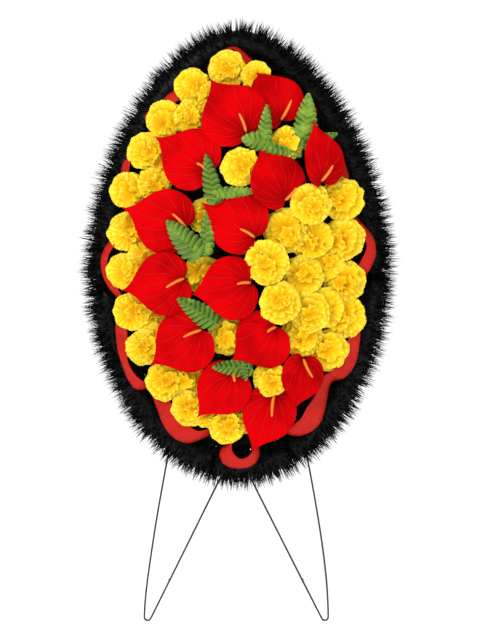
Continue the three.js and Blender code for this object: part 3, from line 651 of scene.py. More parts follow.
@dataclass(frozen=True)
class LeafFinish:
    """Moulded leaf: dark to mid green by each frond's own shade and in soft blotches, pale along the ribs,
    with a painted highlight along one edge and the crown of each pinna.
    """

    name: str
    dark: Colour
    green: Colour
    # The colour of the pale ribs and of the painted highlight on the pinnae.
    rib: Colour
    stops: tuple[float, ...] = (0.1, 0.55, 1.0)
    blotch_scale: float = 45
    blotch_share: float = 1.3
    rib_and_highlight_strength: float = 0.6
    roughness: float = 0.3
    specular: float = 0.22
    grain_scale: float = 140
    grain: float = 0.3
    grain_depth: float = 0.001

    def material(self) -> bpy.types.Material:
        """Returns: the material, which reads the rib and each leaf's own shade."""
        sheet = ShaderSheet(self.name)
        blotch = sheet.spread(sheet.noise(self.blotch_scale), 0.5, self.blotch_share)
        shade = sheet.math("ADD", sheet.attribute("shade"), blotch)
        green = sheet.ramp(shade, list(zip(self.stops, (self.dark, self.green, self.rib))))
        # The rib number carries the pale ribs and the painted highlight on the pinnae.
        shown = sheet.math("MULTIPLY", sheet.attribute("rib"), self.rib_and_highlight_strength)
        sheet.link(sheet.mix(shown, green, self.rib), sheet.shader.inputs["Base Color"])
        sheet.surface(self.roughness, self.specular)
        sheet.bump(sheet.noise(self.grain_scale), self.grain, self.grain_depth)
        return sheet.material


@dataclass(frozen=True)
class PlainFinish:
    """One colour, darkened in soft noise patches if asked, with a fine grain in its surface."""

    name: str
    colour: Colour
    roughness: float
    metallic: float = 0.0
    specular: float = 0.5
    grain_scale: float = 500.0
    grain: float = 0.3
    grain_depth: float = 0.0002
    # How far soft patches darken the colour: mottle on the wire, painted shade and reflection on the ribbon.
    dark_patches: float = 0.0
    dark_patch_scale: float = 35

    def material(self) -> bpy.types.Material:
        """Returns: the material."""
        sheet = ShaderSheet(self.name)
        base = sheet.shader.inputs["Base Color"]
        sheet.surface(self.roughness, self.specular)
        sheet.shader.inputs["Metallic"].default_value = self.metallic
        if self.dark_patches:
            shade = [value * (1 - self.dark_patches) for value in self.colour]
            sheet.link(sheet.mix(sheet.noise(self.dark_patch_scale), self.colour, shade), base)
        else:
            base.default_value = (*self.colour, 1)
        sheet.bump(sheet.noise(self.grain_scale), self.grain, self.grain_depth)
        return sheet.material


# ---------------------------------------------------------------- node trees for what repeats


@dataclass
class TreeSheet:
    """A new tree of geometry nodes with named inputs, and short ways to wire it."""

    name: str
    inputs: dict[str, tuple[str, object]]

    def __post_init__(self) -> None:
        """Makes the tree, its sockets and its two end nodes."""
        self.tree = bpy.data.node_groups.new(self.name, "GeometryNodeTree")
        self.tree.is_modifier = True
        self.tree.interface.new_socket("Geometry", in_out="INPUT", socket_type="NodeSocketGeometry")
        for label, (kind, value) in self.inputs.items():
            socket = self.tree.interface.new_socket(label, in_out="INPUT", socket_type=kind)
            if value is not None:
                socket.default_value = value
        self.tree.interface.new_socket("Geometry", in_out="OUTPUT", socket_type="NodeSocketGeometry")
        self.start = self.tree.nodes.new("NodeGroupInput")
        self.end = self.tree.nodes.new("NodeGroupOutput")

    def node(
        self, kind: str, links: dict[str, bpy.types.NodeSocket] | None = None, **settings: object
    ) -> bpy.types.Node:
        """Adds a node.

        Args:
            kind: its type.
            links: the outputs that feed its inputs, by the inputs' names.
            settings: its own properties, or its inputs' values where the name is an input's.

        Returns:
            The new node.
        """
        made = self.tree.nodes.new(kind)
        for key, value in settings.items():
            if hasattr(made, key):
                setattr(made, key, value)
        for key, value in settings.items():
            if not hasattr(made, key):
                self.live(made, key.replace("_", " ")).default_value = value
        for key, source in (links or {}).items():
            self.tree.links.new(source, self.live(made, key))
        return made

    @staticmethod
    def live(node: bpy.types.Node, label: str) -> bpy.types.NodeSocket:
        """Args: node: a node. label: an input's name. Returns: the input of that name in use."""
        return next(s for s in node.inputs if s.name == label and s.enabled)

    @staticmethod
    def out(node: bpy.types.Node, label: str) -> bpy.types.NodeSocket:
        """Args: node: a node. label: an output's name. Returns: the output of that name in use."""
        return next(s for s in node.outputs if s.name == label and s.enabled)

    def feed(self, socket: bpy.types.NodeSocket, value: object) -> None:
        """Args: socket: an input. value: a number or the output that feeds it."""
        if isinstance(value, bpy.types.NodeSocket):
            self.tree.links.new(value, socket)
        else:
            socket.default_value = value

    def random(
        self, low: object, high: object, seed: int, of: bpy.types.NodeSocket | None = None
    ) -> bpy.types.NodeSocket:
        """Args: low, high: numbers or sockets. seed: fixed. of: what shares a number. Returns: it."""
        made = self.tree.nodes.new("FunctionNodeRandomValue")
        made.data_type = "FLOAT"
        self.feed(self.live(made, "Min"), low)
        self.feed(self.live(made, "Max"), high)
        self.live(made, "Seed").default_value = seed
        if of is not None:
            self.tree.links.new(of, self.live(made, "ID"))
        return self.out(made, "Value")

    def math(
        self, how: str, first: object, second: object = 0.0, third: object = 0.0
    ) -> bpy.types.NodeSocket:
        """Args: how: the operation. first, second, third: numbers or sockets. Returns: the result."""
        made = self.tree.nodes.new("ShaderNodeMath")
        made.operation = how
        for place, value in enumerate((first, second, third)):
            self.feed(made.inputs[place], value)
        return made.outputs[0]

    def turned(
        self, rotation: bpy.types.NodeSocket, axis: tuple[int, int, int], angle: object
    ) -> bpy.types.NodeSocket:
        """Args: rotation: what turns. axis: its local axis. angle: how far. Returns: it turned."""
        turn = self.node("FunctionNodeAxisAngleToRotation", Axis=axis)
        self.feed(self.live(turn, "Angle"), angle)
        both = self.tree.nodes.new("FunctionNodeRotateRotation")
        both.rotation_space = "LOCAL"
        self.tree.links.new(rotation, both.inputs["Rotation"])
        self.tree.links.new(turn.outputs["Rotation"], both.inputs["Rotate By"])
        return both.outputs["Rotation"]

    def close(self, geometry: bpy.types.NodeSocket) -> None:
        """Args: geometry: the instances, which are made real, given the material and put out."""
        real = self.node("GeometryNodeRealizeInstances", {"Geometry": geometry})
        dressed = self.node("GeometryNodeSetMaterial", {"Geometry": real.outputs["Geometry"]})
        self.tree.links.new(self.start.outputs["Material"], dressed.inputs["Material"])
        self.tree.links.new(dressed.outputs["Geometry"], self.end.inputs["Geometry"])


def spikes_on(
    sheet: TreeSheet, points: bpy.types.NodeSocket, rotation: bpy.types.NodeSocket, share: object = 1.0
) -> bpy.types.NodeSocket:
    """Stands one thin three-sided spike on each point, along its rotation's Z axis.

    Args:
        sheet: a tree with the inputs Width, Shortest, Longest and Start.
        points: the points.
        rotation: each point's rotation.
        share: how much of its length each spike has.

    Returns:
        The instances, each with its own shade.
    """
    given = sheet.start.outputs
    spike = sheet.node(
        "GeometryNodeMeshCone",
        {"Radius Bottom": given["Width"]},
        fill_type="NGON",
        Vertices=3,
        Side_Segments=1,
        Radius_Top=0.0,
        Depth=1.0,
    )
    long = sheet.math("MULTIPLY", sheet.random(given["Shortest"], given["Longest"], 3), share)
    size = sheet.node("ShaderNodeCombineXYZ", {"Z": long}, X=1.0, Y=1.0)
    shift = sheet.node("ShaderNodeCombineXYZ", {"Z": given["Start"]}, X=0.0, Y=0.0)
    out = sheet.node("FunctionNodeRotateVector", {"Vector": shift.outputs["Vector"], "Rotation": rotation})
    moved = sheet.node("GeometryNodeSetPosition", {"Geometry": points, "Offset": out.outputs["Vector"]})
    made = sheet.node(
        "GeometryNodeInstanceOnPoints",
        {
            "Points": moved.outputs["Geometry"],
            "Instance": spike.outputs["Mesh"],
            "Rotation": rotation,
            "Scale": size.outputs["Vector"],
        },
    )
    stored = sheet.node(
        "GeometryNodeStoreNamedAttribute",
        {"Geometry": made.outputs["Instances"]},
        data_type="FLOAT",
        domain="INSTANCE",
        Name="shade",
    )
    sheet.tree.links.new(sheet.random(0.0, 1.0, 5), sheet.live(stored, "Value"))
    return stored.outputs["Geometry"]


# How unevenly a brush's bristles stand: in their turn round the line, in their lean along it, and
# in the length of the shortest lock as a share of the longest.
SPIN_JITTER = 0.1
LEAN_JITTER = 0.07
SHORTEST_LOCK = 0.86

SPIKE_INPUTS: dict[str, tuple[str, object]] = {
    "Width": ("NodeSocketFloat", 0.0008),
    "Shortest": ("NodeSocketFloat", 0.02),
    "Longest": ("NodeSocketFloat", 0.03),
    "Start": ("NodeSocketFloat", 0.01),
    "Material": ("NodeSocketMaterial", None),
}


def brush_tree() -> TreeSheet:
    """Winds bristles round a line, as on tinsel garland.

    The bristles stand in locks that share a direction, and the locks in tufts that fan out along
    the line and are shorter at their edges.

    Returns:
        The tree.
    """
    sheet = TreeSheet(
        "tinsel_brush",
        {
            "Bristles": ("NodeSocketInt", 1000),
            "Bristles Per Lock": ("NodeSocketFloat", 7.0),
            "Locks Per Tuft": ("NodeSocketFloat", 90.0),
            "Fan": ("NodeSocketFloat", 0.5),
            "Lean": ("NodeSocketFloat", 0.2),
            "Notch": ("NodeSocketFloat", 0.25),
            **SPIKE_INPUTS,
        },
    )
    given = sheet.start.outputs
    line = sheet.node("GeometryNodeMeshToCurve", {"Mesh": given["Geometry"]})
    spaced = sheet.node(
        "GeometryNodeResampleCurve", {"Curve": line.outputs["Curve"], "Count": given["Bristles"]}
    )
    points = sheet.node("GeometryNodeCurveToPoints", {"Curve": spaced.outputs["Curve"]}, mode="EVALUATED")
    index = sheet.node("GeometryNodeInputIndex").outputs["Index"]
    lock = sheet.math("FLOOR", sheet.math("DIVIDE", index, given["Bristles Per Lock"]))
    bearing = sheet.random(0.0, 1.0, 1, lock)
    turns = sheet.math("ADD", sheet.math("DIVIDE", lock, given["Locks Per Tuft"]), bearing)
    across = sheet.math("MULTIPLY_ADD", sheet.math("FRACT", turns), 2.0, -1.0)
    whole = sheet.math("MULTIPLY", bearing, 2 * math.pi)
    spin = sheet.math("ADD", whole, sheet.random(-SPIN_JITTER, SPIN_JITTER, 4))
    loose = sheet.math("MULTIPLY", given["Lean"], sheet.random(-1.0, 1.0, 2, lock))
    jitter = sheet.math("ADD", loose, sheet.random(-LEAN_JITTER, LEAN_JITTER, 6))
    lean = sheet.math("MULTIPLY_ADD", given["Fan"], across, jitter)
    along = sheet.node("FunctionNodeAlignRotationToVector", {"Vector": points.outputs["Tangent"]}, axis="Z")
    raised = sheet.turned(sheet.turned(along.outputs["Rotation"], (0, 0, 1), spin), (0, 1, 0), math.pi / 2)
    leaned = sheet.turned(raised, (0, 1, 0), sheet.math("MULTIPLY", lean, -1.0))
    edge = sheet.math("MULTIPLY", sheet.math("MULTIPLY", across, across), given["Notch"])
    lock_length = sheet.random(SHORTEST_LOCK, 1.0, 8, lock)
    share = sheet.math("MULTIPLY", sheet.math("SUBTRACT", 1.0, edge), lock_length)
    sheet.close(spikes_on(sheet, points.outputs["Points"], leaned, share))
    return sheet


def carpet_tree() -> TreeSheet:
    """Returns: a tree that stands needles all over a surface, leaning every way."""
    sheet = TreeSheet(
        "needle_carpet",
        {"Density": ("NodeSocketFloat", 1000.0), "Lean": ("NodeSocketFloat", 0.8), **SPIKE_INPUTS},
    )
    given = sheet.start.outputs
    points = sheet.node(
        "GeometryNodeDistributePointsOnFaces",
        {"Mesh": given["Geometry"], "Density": given["Density"]},
        Seed=11,
    )
    upright = sheet.node("FunctionNodeAlignRotationToVector", {"Vector": points.outputs["Normal"]}, axis="Z")
    spun = sheet.turned(upright.outputs["Rotation"], (0, 0, 1), sheet.random(0.0, 2 * math.pi, 1))
    leaned = sheet.turned(spun, (0, 1, 0), sheet.math("MULTIPLY", given["Lean"], sheet.random(0.0, 1.0, 2)))
    sheet.close(spikes_on(sheet, points.outputs["Points"], leaned))
    return sheet


def grown(base: bpy.types.Object, sheet: TreeSheet, name: str, **values: object) -> bpy.types.Object:
    """Runs a tree on an object and keeps the result as a plain mesh.

    Args:
        base: the object that the tree starts from, which is used up.
        sheet: the tree.
        name: the new piece's name.
        values: the tree's inputs, by name.

    Returns:
        The new object.
    """
    modifier = base.modifiers.new("grow", "NODES")
    modifier.node_group = sheet.tree
    sockets = [item for item in sheet.tree.interface.items_tree if item.in_out == "INPUT"]
    labels = {socket.name: socket.identifier for socket in sockets}
    for label, value in values.items():
        modifier[labels[label.replace("_", " ")]] = value
    return plain_mesh(base, name)


# ---------------------------------------------------------------- garland and needle rows


@dataclass
class Garland:
    """Four lengths of tinsel garland round the ring, and the needle rows inside it."""

    half_width: float = 266
    centre_v: float = 708
    top_height: float = 442
    bottom_height: float = 400
    top_power: float = 1.72
    bottom_power: float = 1.95
    core_w: float = -14
    end_overlap: float = 0.54
    core_radius: float = 28
    core_taper: float = 60
    core_end: float = 0.7
    core_sides: int = 14
    bristle_width: float = 1.5
    bristles_per_mm: float = 15
    bristles_per_lock: float = 2.0
    bristle_start: float = 12
    bristle_reach: tuple[float, float] = (41, 69)
    tuft_length: float = 27
    tuft_fan: float = 0.3
    tuft_lean: float = 0.12
    tuft_notch: float = 0.1
    row_inset: float = 47
    row_w: float = -6
    row_reach: tuple[float, float] = (17, 28)
    row_per_mm: float = 11
    row_core_radius: float = 17
    row_core_sides: int = 10
    row_core_ends: tuple[float, float] = (2, 358)
    lengths: dict[str, tuple[float, float]] = field(
        default_factory=lambda: {
            "top": (-3.6, 186.6),
            "left": (187.4, 258.4),
            "bottom": (259.4, 291.4),
            "right": (292.4, 355.6),
        }
    )
    needle_density: float = 52000
    needle_lean: float = 1.15
    needle_width: float = 0.9
    needle_reach: tuple[float, float] = (13, 22)
    needle_start: float = -1.5

    def egg_point(self, degrees: float, inset: float, w: float) -> tuple[float, float, float]:
        """Args: degrees: an angle round the egg. inset: how far inside. w: its level. Returns: it."""
        cosine, sine = math.cos(math.radians(degrees)), math.sin(math.radians(degrees))
        top = sine >= 0
        power = 2 / (self.top_power if top else self.bottom_power)
        height = (self.top_height if top else self.bottom_height) - inset
        x = (self.half_width - inset) * math.copysign(abs(cosine) ** power, cosine)
        return x, self.centre_v + height * math.copysign(abs(sine) ** power, sine), w

    def egg_line(
        self, start: float, stop: float, inset: float, w: float, count: int = 90
    ) -> np.ndarray:
        """Args: start, stop: degrees. inset, w: as in egg_point. count: of points. Returns: them."""
        return np.array([self.egg_point(turn, inset, w) for turn in np.linspace(start, stop, count)])

    def build(self) -> None:
        """Makes the four lengths and the needle rows."""
        dark, glint = (0.0025, 0.003, 0.0025), (0.03, 0.035, 0.03)
        black = BristleFinish("cut_black_foil", dark, glint, 0.45).material()
        tree = brush_tree()
        for place, (start, stop) in self.lengths.items():
            line = self.egg_line(start - self.end_overlap, stop + self.end_overlap, 0, self.core_w)
            name = f"garland_{place}"
            density, reach = self.bristles_per_mm, self.bristle_reach
            brush = self.brush(line, name + "_bristles", tree, density, reach, black, self.bristle_start)
            core = self.core(line, self.core_radii(len(line)), self.core_sides)
            settle(core.to_object(name + "_core", [black]), Slot.BRISTLE)
            settle(brush, Slot.BRISTLE, name)
        self.build_rows(tree)

    @staticmethod
    def core(line: np.ndarray, radii: Sequence[float], sides: int) -> MeshParts:
        """Args: line: its points. radii: its radius at each. sides: of its section. Returns: its shell."""
        parts = MeshParts()
        parts.add(*tube(line, radii, sides), shade=np.zeros(len(line) * sides))
        return parts

    def brush(
        self,
        line: np.ndarray,
        name: str,
        tree: TreeSheet,
        per_mm: float,
        reach: tuple[float, float],
        material: bpy.types.Material,
        start: float = 0.0,
    ) -> bpy.types.Object:
        """Makes the bristles round one line.

        Args:
            line: the points of its core.
            name: the piece's name.
            tree: the brush's tree.
            per_mm: how many bristles stand on each millimetre.
            reach: the shortest and the longest distance from the core to a tip.
            material: the bristles' finish.
            start: how far from the core they start.

        Returns:
            The bristles.
        """
        long = float(np.linalg.norm(np.diff(line, axis=0), axis=1).sum())
        return grown(
            self.wire_object(line, name + "_line"),
            tree,
            name,
            Bristles=int(long * per_mm),
            Bristles_Per_Lock=self.bristles_per_lock,
            Locks_Per_Tuft=self.tuft_length * per_mm / self.bristles_per_lock,
            Fan=self.tuft_fan,
            Lean=self.tuft_lean,
            Notch=self.tuft_notch,
            Width=self.bristle_width * MM,
            Shortest=(reach[0] - start) * MM,
            Longest=(reach[1] - start) * MM,
            Start=start * MM,
            Material=material,
        )

    def core_radii(self, count: int) -> list[float]:
        """Args: count: how many points. Returns: the core's radius at each, thinning at both ends."""
        share = np.linspace(0, 1, count)
        nearest = np.minimum(share, 1 - share)
        return list(self.core_radius * np.clip(nearest * self.core_taper, self.core_end, 1))

    @staticmethod
    def wire_object(line: np.ndarray, name: str) -> bpy.types.Object:
        """Args: line: a row of points. name: the object's name. Returns: them joined by edges."""
        mesh = bpy.data.meshes.new(name)
        edges = [(i, i + 1) for i in range(len(line) - 1)]
        mesh.from_pydata(PLANE.to_world(line).tolist(), edges, [])
        made = bpy.data.objects.new(name, mesh)
        bpy.context.scene.collection.objects.link(made)
        return made

    def build_rows(self, tree: TreeSheet) -> None:
        """Args: tree: the brush's. The solid stays as the rows' dark body, with needles all over it."""
        black, glint = (0.0025, 0.003, 0.0025), (0.014, 0.019, 0.011)
        dark = BristleFinish("dark_needles", black, glint, 0.55).material()
        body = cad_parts["needle_mat"]
        body.data.materials.clear()
        body.data.materials.append(dark)
        cover = bpy.data.objects.new("needle_cover", merged_mesh(body.data))
        bpy.context.scene.collection.objects.link(cover)
        needles = grown(
            cover,
            carpet_tree(),
            "needle_rows",
            Density=self.needle_density,
            Lean=self.needle_lean,
            Width=self.needle_width * MM,
            Shortest=self.needle_reach[0] * MM,
            Longest=self.needle_reach[1] * MM,
            Start=self.needle_start * MM,
            Material=dark,
        )
        settle(needles, Slot.NEEDLE)
        line = self.egg_line(0, 360, self.row_inset, self.row_w)
        edge_row = self.brush(line, "needle_edge_row", tree, self.row_per_mm, self.row_reach, dark)
        settle(edge_row, Slot.NEEDLE)
        seam = self.egg_line(*self.row_core_ends, self.row_inset, self.row_w)
        core = self.core(seam, [self.row_core_radius] * len(seam), self.row_core_sides)
        settle(core.to_object("needle_edge_core", [dark]), Slot.NEEDLE)


def merged_mesh(mesh: bpy.types.Mesh) -> bpy.types.Mesh:
    """Args: mesh: loose triangles. Returns: a copy with its shared corners merged."""
    work = bmesh.new()
    work.from_mesh(mesh)
    bmesh.ops.remove_doubles(work, verts=work.verts, dist=SEAM_DISTANCE)
    copy = bpy.data.meshes.new(mesh.name + "_merged")
    work.to_mesh(copy)
    work.free()
    return copy


# ---------------------------------------------------------------- wires and ribbons


@dataclass
class WireFrame:
    """The steel hoop, bars, spine, legs and rear prop, as smooth round wires."""

    nodes: tuple[str, ...] = (
        "frame_hoop_left",
        "frame_hoop_right",
        "frame_spine",
        "frame_bar_upper",
        "frame_bar_middle",
        "frame_bar_lower",
        "stand_leg_left",
        "stand_leg_right",
        "stand_rear_prop",
    )
    inflate: float = 0.22 * MM
    divisions: int = 2

    def build(self) -> None:
        """Makes each wire."""
        steel = PlainFinish(
            "dark_drawn_wire", (0.055, 0.058, 0.062), roughness=0.38, metallic=0.75, dark_patches=0.25
        ).material()
        for node in self.nodes:
            wire = rounded_copy(node, node + "_wire", self.divisions, None, self.inflate)
            wire.data.materials.clear()
            wire.data.materials.append(steel)
            settle(wire, Slot.STEEL, node)


@dataclass
class Ribbons:
    """The red ribbon's loops over the garland."""

    rests: dict[str, list[str]] = field(
        default_factory=lambda: {
            "ribbon_top": ["garland_top"],
            "ribbon_left": ["garland_top", "garland_left"],
            "ribbon_bottom": ["garland_bottom"],
            "ribbon_right": ["garland_top", "garland_right"],
        }
    )
    width: float = 22 * MM
    sharp_bend: float = math.radians(58)
    divisions: int = 2

    def build(self) -> None:
        # The red is darkened in soft patches: painted shade and dark reflections of the satin.
        red = PlainFinish(
            "glossy_red_ribbon",
            (0.7, 0.014, 0.008),
            roughness=0.33,
            specular=0.14,
            grain_scale=260,
            grain_depth=0.0009,
            dark_patches=0.5,
        ).material()
        for node, garlands in self.rests.items():
            band = rounded_copy(node, node + "_band", self.divisions, self.sharp_bend, 0.0)
            band.data.materials.clear()
            band.data.materials.append(red)
            settle(band, Slot.RIBBON, node)


# ---------------------------------------------------------------- anthuriums


@dataclass(frozen=True)
class SpathePose:
    """Where one anthurium lies, read off its solid."""

    base: np.ndarray
    along: np.ndarray
    left: np.ndarray
    length: float
    left_reach: float
    right_reach: float
    surface: np.ndarray
    spadix_tip: np.ndarray
    foot_w: float

    def height(self, x: np.ndarray, v: np.ndarray) -> np.ndarray:
        """Args: x, v: places in the plane. Returns: the spathe's height over the plane there."""
        return quadratic_terms(x - self.base[0], v - self.base[1]) @ self.surface


# Offsets on a spathe are counted in this many millimetres, so that its surface fits well.
SURFACE_UNIT = 50
# How close to the surface a corner has to be to count, in each round of the fit, in millimetres.
FIT_LIMITS = (9.0, 6.0, 4.0, 3.0, 2.2, 2.2)


def quadratic_terms(x: np.ndarray, v: np.ndarray) -> np.ndarray:
    """Args: x, v: offsets in millimetres. Returns: the terms of a quadratic surface at each."""
    x, v = np.asarray(x) / SURFACE_UNIT, np.asarray(v) / SURFACE_UNIT
    return np.stack([np.ones_like(x), x, v, x * x, x * v, v * v], axis=-1)


def fitted_surface(points: np.ndarray, origin: np.ndarray) -> tuple[np.ndarray, np.ndarray]:
    """Fits a quadratic surface to a sheet's corners and leaves out what stands on it.

    Args:
        points: corners as (x, v, w).
        origin: the (x, v) that the surface is worked out round.

    Returns:
        The surface's terms, and how far each corner stands over it.
    """
    terms = quadratic_terms(points[:, 0] - origin[0], points[:, 1] - origin[1])
    kept = np.ones(len(points), dtype=bool)
    rest = np.zeros(len(points))
    for limit in FIT_LIMITS:
        surface = np.linalg.lstsq(terms[kept], points[kept, 2], rcond=None)[0]
        rest = points[:, 2] - terms @ surface
        kept = np.abs(rest) < limit
    return surface, rest


# An anthurium's solid, in millimetres: the stem's foot ends below the first of these heights, the
# spathe's two faces are within the next of its middle, and the spadix stands higher than the third.
STEM_CLEAR = 18
SPATHE_HALF = 2.4
SPADIX_PROUD = 7
# The corners this close to the spadix's far end make its tip.
SPADIX_TIP = 2.5
# The spathe's solid reaches this far past its own tip, as a share of the length.
PAST_TIP = 1.02


def read_spathe(node: str) -> SpathePose:
    """Args: node: an anthurium's node. Returns: where it lies."""
    solid = PLANE.solid(node)
    points = solid.points()
    foot_w = points[:, 2].min()
    base = solid.stem_feet()[0]
    high = points[points[:, 2] > foot_w + STEM_CLEAR]
    surface, rest = fitted_surface(high, base)
    sheet = high[np.abs(rest) < SPATHE_HALF]
    offsets = sheet[:, :2] - base
    far = offsets[np.argmax(np.linalg.norm(offsets, axis=1))]
    length = float(np.linalg.norm(far))
    along = far / length
    left = np.array([-along[1], along[0]])
    sides = offsets @ left
    proud = high[rest > SPADIX_PROUD]
    reach = np.linalg.norm(proud[:, :2] - base, axis=1)
    return SpathePose(
        base=base,
        along=along,
        left=left,
        length=length / PAST_TIP,
        left_reach=float(sides.max()),
        right_reach=float(-sides.min()),
        surface=surface,
        spadix_tip=proud[reach > reach.max() - SPADIX_TIP].mean(axis=0),
        foot_w=foot_w,
    )


# Half of the heart from the notch round one lobe to the tip, as shares of the half width and the length.
HEART = (
    (0, -0.015), (0.14, -0.07), (0.36, -0.1), (0.62, -0.045), (0.84, 0.05), (0.97, 0.19),
    (1, 0.33), (0.94, 0.48), (0.77, 0.61), (0.53, 0.72), (0.3, 0.81), (0.13, 0.9), (0.04, 0.97), (0, 1.03),
)


def rounded_outline(corners: Sequence[tuple[float, float]], per_span: int) -> np.ndarray:
    """Draws a smooth closed line through corners.

    Args:
        corners: the corners in order.
        per_span: how many points are set between one corner and the next.

    Returns:
        The line's points.
    """
    ring = np.array(corners, dtype=float)
    count = len(ring)
    made = []
    for i in range(count):
        before, start, stop, after = (ring[(i + k) % count] for k in (-1, 0, 1, 2))
        for share in np.arange(per_span) / per_span:
            made.append(
                0.5
                * (
                    2 * start
                    + (stop - before) * share
                    + (2 * before - 5 * start + 4 * stop - after) * share**2
                    + (3 * start - before - 3 * stop + after) * share**3
                )
            )
    return np.array(made)


@dataclass
class Anthurium:
    """One flocked anthurium: a heart-shaped spathe with pressed veins, its spadix and its stem.

    Heights and thicknesses are in millimetres, widths and reaches on the spathe are shares of its
    length, and veins lie a number of radians apart round the stem.
    """

    node: str
    seed: int
    crease: float = 0.0
    crease_width: float = 0.13
    rings: int = 18
    ring_spread: float = 0.85
    points_per_span: int = 4
    thickness: float = 1.3
    vein_height: float = 0.9
    vein_width: float = 0.024
    vein_spacing: float = 0.46
    vein_start: float = 0.2
    vein_bend: float = 0.42
    buckle_height: float = 1.5
    edge_height: float = 1.9
    cup_depth: float = 5.0
    cup_reach: float = 0.22
    curl_height: float = 3.5
    curl_start: float = 0.8
    hub_share: float = 0.07
    spadix_points: int = 16
    spadix_sides: int = 12
    spadix_bow: float = 1.6
    knob_height: float = 0.07
    stem_radius: float = 2.1

    def build(self, finishes: Sequence[bpy.types.Material]) -> bpy.types.Object:
        """Args: finishes: the spathe's, spadix's and stem's materials. Returns: the piece."""
        pose = read_spathe(self.node)
        parts = MeshParts()
        self.add_spathe(parts, pose)
        self.add_spadix(parts, pose)
        self.add_stem(parts, pose)
        return settle(parts.to_object(self.node + "_bloom", finishes), Slot.ANTHURIUM, self.node)

    def add_spathe(self, parts: MeshParts, pose: SpathePose) -> None:
        """Args: parts: where the shell goes. pose: where the flower lies."""
        half = [*HEART, *[(-across, share) for across, share in reversed(HEART[1:-1])]]
        outline = rounded_outline(half, self.points_per_span)
        count = len(outline)
        reach = np.linspace(0, 1, self.rings + 1)[1:] ** self.ring_spread
        hub = np.array([0.0, self.hub_share])
        flat = np.concatenate([[hub], *[hub + (outline - hub) * step for step in reach]])
        rim = np.concatenate([[0.0], np.repeat(reach, count)])
        across = np.where(flat[:, 0] > 0, flat[:, 0] * pose.left_reach, flat[:, 0] * pose.right_reach)
        spots = pose.base + np.outer(flat[:, 1] * pose.length, pose.along) + np.outer(across, pose.left)
        bearing, distance = self.bearings(across / pose.length, flat[:, 1])
        height = pose.height(spots[:, 0], spots[:, 1])
        height = height + self.relief(bearing, distance, rim, across / pose.length)
        upper = np.column_stack([spots, height + self.thickness / 2])
        lower = np.column_stack([spots, height - self.thickness / 2])
        numbers = {"bearing": bearing, "reach": distance}
        doubled = {name: np.tile(values, 2) for name, values in numbers.items()}
        parts.add(np.concatenate([upper, lower]), disc_faces(self.rings, count), 0, **doubled)

    def bearings(self, across: np.ndarray, share: np.ndarray) -> tuple[np.ndarray, np.ndarray]:
        """Finds each place's bearing round the stem, along lines that bend towards the tip.

        Args:
            across: places across the midrib, as shares of the length.
            share: places along it.

        Returns:
            The bearing and the distance from the stem.
        """
        distance = np.hypot(across, share) + 1e-4
        bearing = np.arctan2(across, share) / (1 - self.vein_bend * np.clip(distance, 0, 1.05))
        wobble = 0.035 * np.sin(9 * distance + 2.3 * bearing) + 0.02 * np.sin(17 * distance - 5.1 * bearing)
        return bearing + wobble, distance

    def relief(
        self, bearing: np.ndarray, distance: np.ndarray, rim: np.ndarray, across: np.ndarray
    ) -> np.ndarray:
        """Args: the places' bearings, distances, rim shares and offsets. Returns: their rise."""
        chance = np.random.default_rng(self.seed)
        phase = chance.uniform(0, 2 * math.pi, 4)
        half = self.vein_spacing / 2
        away = np.abs((bearing + half) % self.vein_spacing - half) * distance
        vein = np.exp(-((away / self.vein_width) ** 2)) * np.clip(distance / self.vein_start, 0, 1)
        buckle = np.sin(5.3 * bearing + phase[0] + 4 * distance) * np.sin(3.1 * distance + phase[3])
        wave = np.sin(3 * bearing + phase[0]) + 0.6 * np.sin(8 * bearing + phase[1])
        edge = self.edge_height * rim**3 * wave
        cup = -self.cup_depth * np.exp(-((distance / self.cup_reach) ** 2))
        curl = self.curl_height * np.clip(distance - self.curl_start, 0, 1) * np.sin(phase[2])
        fold = -self.crease * np.exp(-np.abs(across) / self.crease_width)
        return self.buckle_height * buckle + edge + cup + curl + fold + self.vein_height * vein

    def add_spadix(self, parts: MeshParts, pose: SpathePose) -> None:
        """Args: parts: where the shell goes. pose: where the flower lies."""
        start = np.array([*pose.base, float(pose.height(*pose.base[:, None])[0]) - 2])
        tip = pose.spadix_tip
        count, sides = self.spadix_points, self.spadix_sides
        share = np.linspace(0, 1, count)
        line = start + np.outer(share, tip - start)
        line[:, 2] = start[2] + (tip[2] - start[2]) * np.sin(share * math.pi / 2)
        sideways = np.cross((tip - start) / np.linalg.norm(tip - start), [0, 0, 1])
        line += np.outer(np.sin(share * math.pi), sideways) * self.spadix_bow
        radii = np.interp(share, [0, 0.12, 0.5, 0.9, 1], [2.0, 2.9, 2.7, 2.1, 0.9])
        corners, faces = tube(line, radii, sides)
        rows = np.repeat(np.arange(count), sides)
        columns = np.tile(np.arange(sides), count)
        middle = np.repeat(line, sides, axis=0)
        knobs = 1 + self.knob_height * ((rows + columns) % 2)
        parts.add(middle + (corners - middle) * knobs[:, None], faces, 1, reach=np.repeat(share, sides))

    def add_stem(self, parts: MeshParts, pose: SpathePose) -> None:
        """Args: parts: where the shell goes. pose: where the flower lies."""
        top = float(pose.height(*pose.base[:, None])[0]) - 1
        line = np.array([[*pose.base, w] for w in np.linspace(pose.foot_w, top, 5)])
        parts.add(*tube(line, [self.stem_radius] * len(line), 8), 2)


# ---------------------------------------------------------------- carnations


@dataclass(frozen=True)
class BloomPose:
    """Where one carnation stands, read off its spray's solid."""

    centre: np.ndarray
    radius: float
    rim_w: float
    tuft: np.ndarray
    foot_w: float


# A spray's solid: its stems and wire are below this height over its foot, in millimetres, a bloom's
# rim is past this share of its reach, its solid reaches this far past its radius, and its tuft
# stands this share of the radius over its rim.
BLOOM_CLEAR = 12
RIM_FROM = 0.93
PAST_RIM = 1.03
TUFT_FROM = 0.27


